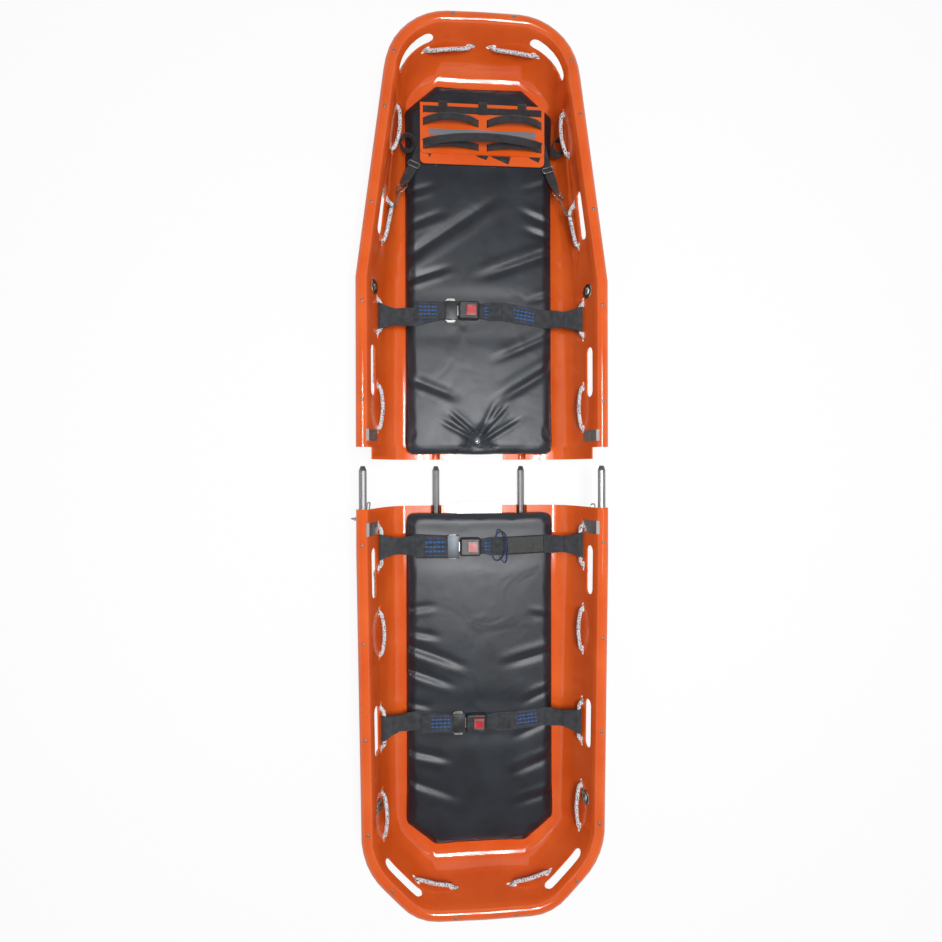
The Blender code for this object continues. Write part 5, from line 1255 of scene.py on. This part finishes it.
# %% Cut ends of tape on the lower panel
bm = bmesh.new()
edge_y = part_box("footrest_upper")[0].y
ends = [(-0.150, -0.139, 0.003), (-0.018, 0.016, 0.004), (0.022, 0.077, 0.014), (0.128, 0.160, 0.006)]
for x0, x1, drop in ends:
    corners = ((x0, 0.001, 0.0006), (x0 + 0.004, 0.004, 0.0006), (x1 - 0.006, 0.008 + drop, 0.0012),
               (x1, 0.001, 0.0008))
    bm.faces.new([bm.verts.new((rest_x + x, edge_y - back, lower_top + z)) for x, back, z in corners])
tips = new_piece("footrest_tape_ends", bm, narrow_weave, "foot_half")
thicken(tips, 0.0010)
print("tape ends:", len(ends))

# %% [markdown]
# ## Side straps
#
# On each side a 25 mm strap comes from under the lower panel, passes a metal
# slider, and ends in a square ring that carries the snap hook. The spare end of
# the tape is rolled up and stands on its edge beside the panel.

# %% Routes of the side straps
side_routes = {
    "left": dict(
        sign=-1, roll=(-0.196, 0.869), eye=(-0.2132, 0.7410, 0.0940),
        across=(0.9155, -0.4024, 0.0), tilt=(0.8786, -0.0956, 0.4680),
        points=[(-0.1394, 0.9102, 0.0681), (-0.1575, 0.8690, 0.0681), (-0.1744, 0.8306, 0.0681),
                (-0.1920, 0.7905, 0.0787), (-0.2030, 0.7697, 0.0808), (-0.2076, 0.7581, 0.0842)]),
    "right": dict(
        sign=1, roll=(0.214, 0.874), eye=(0.2162, 0.7340, 0.0941),
        across=(-0.9560, -0.2934, 0.0), tilt=(-0.9039, -0.0989, 0.4162),
        points=[(0.1613, 0.9120, 0.0681), (0.1745, 0.8690, 0.0681), (0.1868, 0.8288, 0.0681),
                (0.1999, 0.7862, 0.0787), (0.2074, 0.7636, 0.0819), (0.2105, 0.7510, 0.0846)]),
}


def rounded_loop(centre, one, two, half_one, half_two, corner):
    """Closed line of a rectangle with round corners, in the plane of two directions."""
    points = []
    for sx, sy, start in ((1, 1, 0), (-1, 1, 90), (-1, -1, 180), (1, -1, 270)):
        for k in range(5):
            a = math.radians(start + 22.5 * k)
            points.append(centre + one * (sx * (half_one - corner) + corner * math.cos(a))
                          + two * (sy * (half_two - corner) + corner * math.sin(a)))
    return points + [points[0]]


for label, route in side_routes.items():
    points = [Vector(p) for p in route["points"]]
    line = even_line(points, 0.003, passes=4)
    flat, tilt, eye = Vector(route["across"]), Vector(route["tilt"]), Vector(route["eye"])
    across = [flat.lerp(tilt, ease_in(0.79, p.y, 0.03)).normalized() for p in line]
    widths = [0.025 - 0.007 * ease_in(0.775, p.y) for p in line]
    bm = bmesh.new()
    lay_band(bm, line, across, widths, columns=6)
    strap_piece = new_piece("side_strap_" + label + "_tape", bm, narrow_weave, "foot_half", recalc=False)
    thicken(strap_piece, 0.0018)
    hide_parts("side_strap_" + label)
    along = (points[3] - points[2]).normalized()
    slider_at = points[2].lerp(points[3], 0.25) + Vector((0, 0, 0.0022))
    slider = rounded_loop(slider_at, flat.normalized(), along, 0.0155, 0.0075, 0.003)
    closed_wire("slider_" + label, slider, 0.0013, zinc_plate, "foot_half")
    to_rope = (eye - points[-1]).normalized()
    ring = rounded_loop(points[-1].lerp(eye, 0.35), tilt.normalized(), to_rope, 0.0145, 0.0085, 0.003)
    closed_wire("square_ring_" + label, ring, 0.0015, zinc_plate, "foot_half")
print("side straps, sliders and rings made")

# %% Rolled ends of tape
for label, route in side_routes.items():
    centre = Vector((*route["roll"], 0.0))
    roll = []
    for k in range(40):
        a = math.radians(200 + 14.5 * k) * route["sign"]
        r = 0.0245 - 0.00018 * k
        roll.append(centre + Vector((math.cos(a) * r * 0.85, math.sin(a) * r, 0.083 + 0.0002 * k)))
    line = even_line(roll, 0.003, passes=1)
    bm = bmesh.new()
    lay_band(bm, line, Vector((0.12, 0.0, 1.0)), [0.024] * len(line), columns=6)
    piece = new_piece("rolled_end_" + label, bm, narrow_weave, "foot_half", recalc=False)
    thicken(piece, 0.0014)
print("rolled ends made")

# %% [markdown]
# ## Rivets
#
# Domed aluminium rivets hold the rim's tube in the shell, six on each side of a
# half. Each dome is a short profile, spun round its own axis.

# %% Rivets of the rims
dull_aluminium = worn_finish("dull aluminium rivet", "#86827C", 0.5, 900.0, 2.0, rough=(0.4, 0.62),
                             metallic=1.0)


def add_rivet(bm, place, radius=0.0042, height=0.0016, up=Vector((0, 0, 1))):
    profile = [(radius, -0.0008), (radius, 0.0002), (radius * 0.86, height * 0.55),
               (radius * 0.5, height * 0.92), (0.0, height)]
    spin_profile(bm, profile, place, 14, up)


# x on the rim, and the distance from the half's joint end
rim_places = {
    "foot": [(0.3088, 0.1205), (0.3073, 0.368), (0.2835, 0.615), (0.2501, 0.856), (0.2266, 0.994),
             (0.0774, 1.095)],
    "head": [(0.3085, 0.090), (0.3063, 0.3375), (0.3024, 0.580), (0.2967, 0.819), (0.2356, 0.963),
             (0.0772, 1.041)],
}
for half, rows in rim_places.items():
    bm = bmesh.new()
    for x, s in rows:
        y = 0.0515 + s if half == "foot" else -0.1055 - s
        for side in (-1, 1):
            add_rivet(bm, Vector((side * x, y, 0.190)))
    merge_close(bm)
    rivets = new_piece(half + "_rivets", bm, dull_aluminium, half + "_half")
print("rivets on the rims:", {half: 2 * len(rows) for half, rows in rim_places.items()})

# %% Rivets of the plates inside the walls
plate_faces = {name: top_of(nodes[name]) for name in nodes if "_backing_" in name}
for half in ("foot", "head"):
    bm = bmesh.new()
    for side in ("left", "right"):
        name = f"{half}_backing_{side}"
        low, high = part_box(name)
        sign = -1 if side == "left" else 1
        for share_x, share_y in ((0.30, 0.3), (0.30, 0.7)):
            x = (low.x if sign > 0 else high.x) + sign * (high.x - low.x) * share_x
            y = low.y + (high.y - low.y) * share_y
            z = plate_faces[name](x, y, high.z)
            add_rivet(bm, Vector((x, y, z)), 0.0030, 0.0012, up=Vector((-sign, 0, 0.6)).normalized())
    merge_close(bm)
    plate_rivets = new_piece(half + "_plate_rivets", bm, dull_aluminium, half + "_half")
print("plate rivets made")

# %% [markdown]
# ## Floor, light and camera
#
# The photograph has a white ground and light from above, with pairs of long
# narrow highlights down both sides of the shells. So there are two fluorescent
# tubes under a pale ceiling panel, and a weak strip light on each side. The floor
# is matt white paper. Where the camera, or a mirror-like metal, sees it, some of
# its white is plain emission, so that it looks as white as the photograph's
# ground and still keeps a soft shadow.


# %% Pale floor
def seen_directly(tree):
    """1 on rays from the camera, a mirror or glass, and 0 on the others."""
    path = add_node(tree, "LightPath").outputs
    direct = maths(tree, "ADD", path["Is Camera Ray"], path["Is Glossy Ray"])
    return maths(tree, "ADD", direct, path["Is Transmission Ray"])


bm = bmesh.new()
bmesh.ops.create_grid(bm, x_segments=1, y_segments=1, size=40.0)
floor = add_object("floor", mesh_of("floor", bm))
paper, tree, shader = new_material("matt white paper", "#F8F8F8", 0.9)
white = add_node(tree, "Emission", {"Color": to_linear("#FFFFFF"), "Strength": 1.0})
share = maths(tree, "MULTIPLY", seen_directly(tree), 0.9)
mixed = add_node(tree, "MixShader", {0: share, 1: shader, 2: white})
fill_inputs(tree, tree.nodes["Material Output"], {"Surface": mixed})
floor.data.materials.append(paper)
floor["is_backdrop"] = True
print("floor laid")


# %% Lamps
def hang_lamp(name, place, size_x, size_y, watts, aim=(0.0, 0.0, 0.1)):
    data = bpy.data.lights.new(name, "AREA")
    data.shape = "RECTANGLE"
    data.size, data.size_y, data.energy = size_x, size_y, watts
    data.color = (0.97, 0.985, 1.0)
    lamp = add_object(name, data)
    lamp.location = place
    lamp.rotation_euler = (Vector(aim) - Vector(place)).to_track_quat("-Z", "Y").to_euler()


for name, x in (("left tube", 0.09), ("right tube", 0.33)):
    hang_lamp(name, (x, 0.0, 3.1), 0.06, 1.2, 28.0, aim=(x, 0.0, 0.0))
hang_lamp("ceiling", (0.0, 0.0, 3.2), 1.5, 1.5, 26.0)
for name, x in (("left strip", -1.2), ("right strip", 1.2)):
    hang_lamp(name, (x, -0.05, 1.6), 0.05, 1.6, 2.0)

# %% [markdown]
# The room is white near the horizon and greyer overhead, as mirror-like surfaces
# and the camera see it. For all other light it is a dim even fill.

# %% White room
world = bpy.data.worlds.new("white room")
bpy.context.scene.world = world
world.use_nodes = True
tree = world.node_tree
overhead = spread(tree, axes_of(tree, "Generated")["Z"], 1.0, 0.27, 0.3, 0.75)
room = spread(tree, seen_directly(tree), 0.25, overhead)
fill_inputs(tree, tree.nodes["Background"], {"Color": to_linear("#FFFFFF"), "Strength": room})
bpy.context.scene.view_settings.view_transform = "Standard"
print("world:", world.name)

# %% [markdown]
# The camera stands over the middle of the stretcher. Its place, turn and lens
# were worked out from the known sizes of the parts in the photograph.

# %% Camera
camera_data = bpy.data.cameras.new("camera")
camera_data.sensor_width = 36.0
camera_data.lens = 23.63
camera = add_object("camera", camera_data)
camera.location = (-0.1628, -0.0027, 1.7549)
camera.rotation_euler = (-0.0039, -0.0815, -0.0026)
bpy.context.scene.camera = camera
print("camera at", tuple(round(v, 3) for v in camera.location))

# %% Size of this model as it renders
low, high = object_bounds()
print("visual size in mm:", [round(1000 * v) for v in high - low])
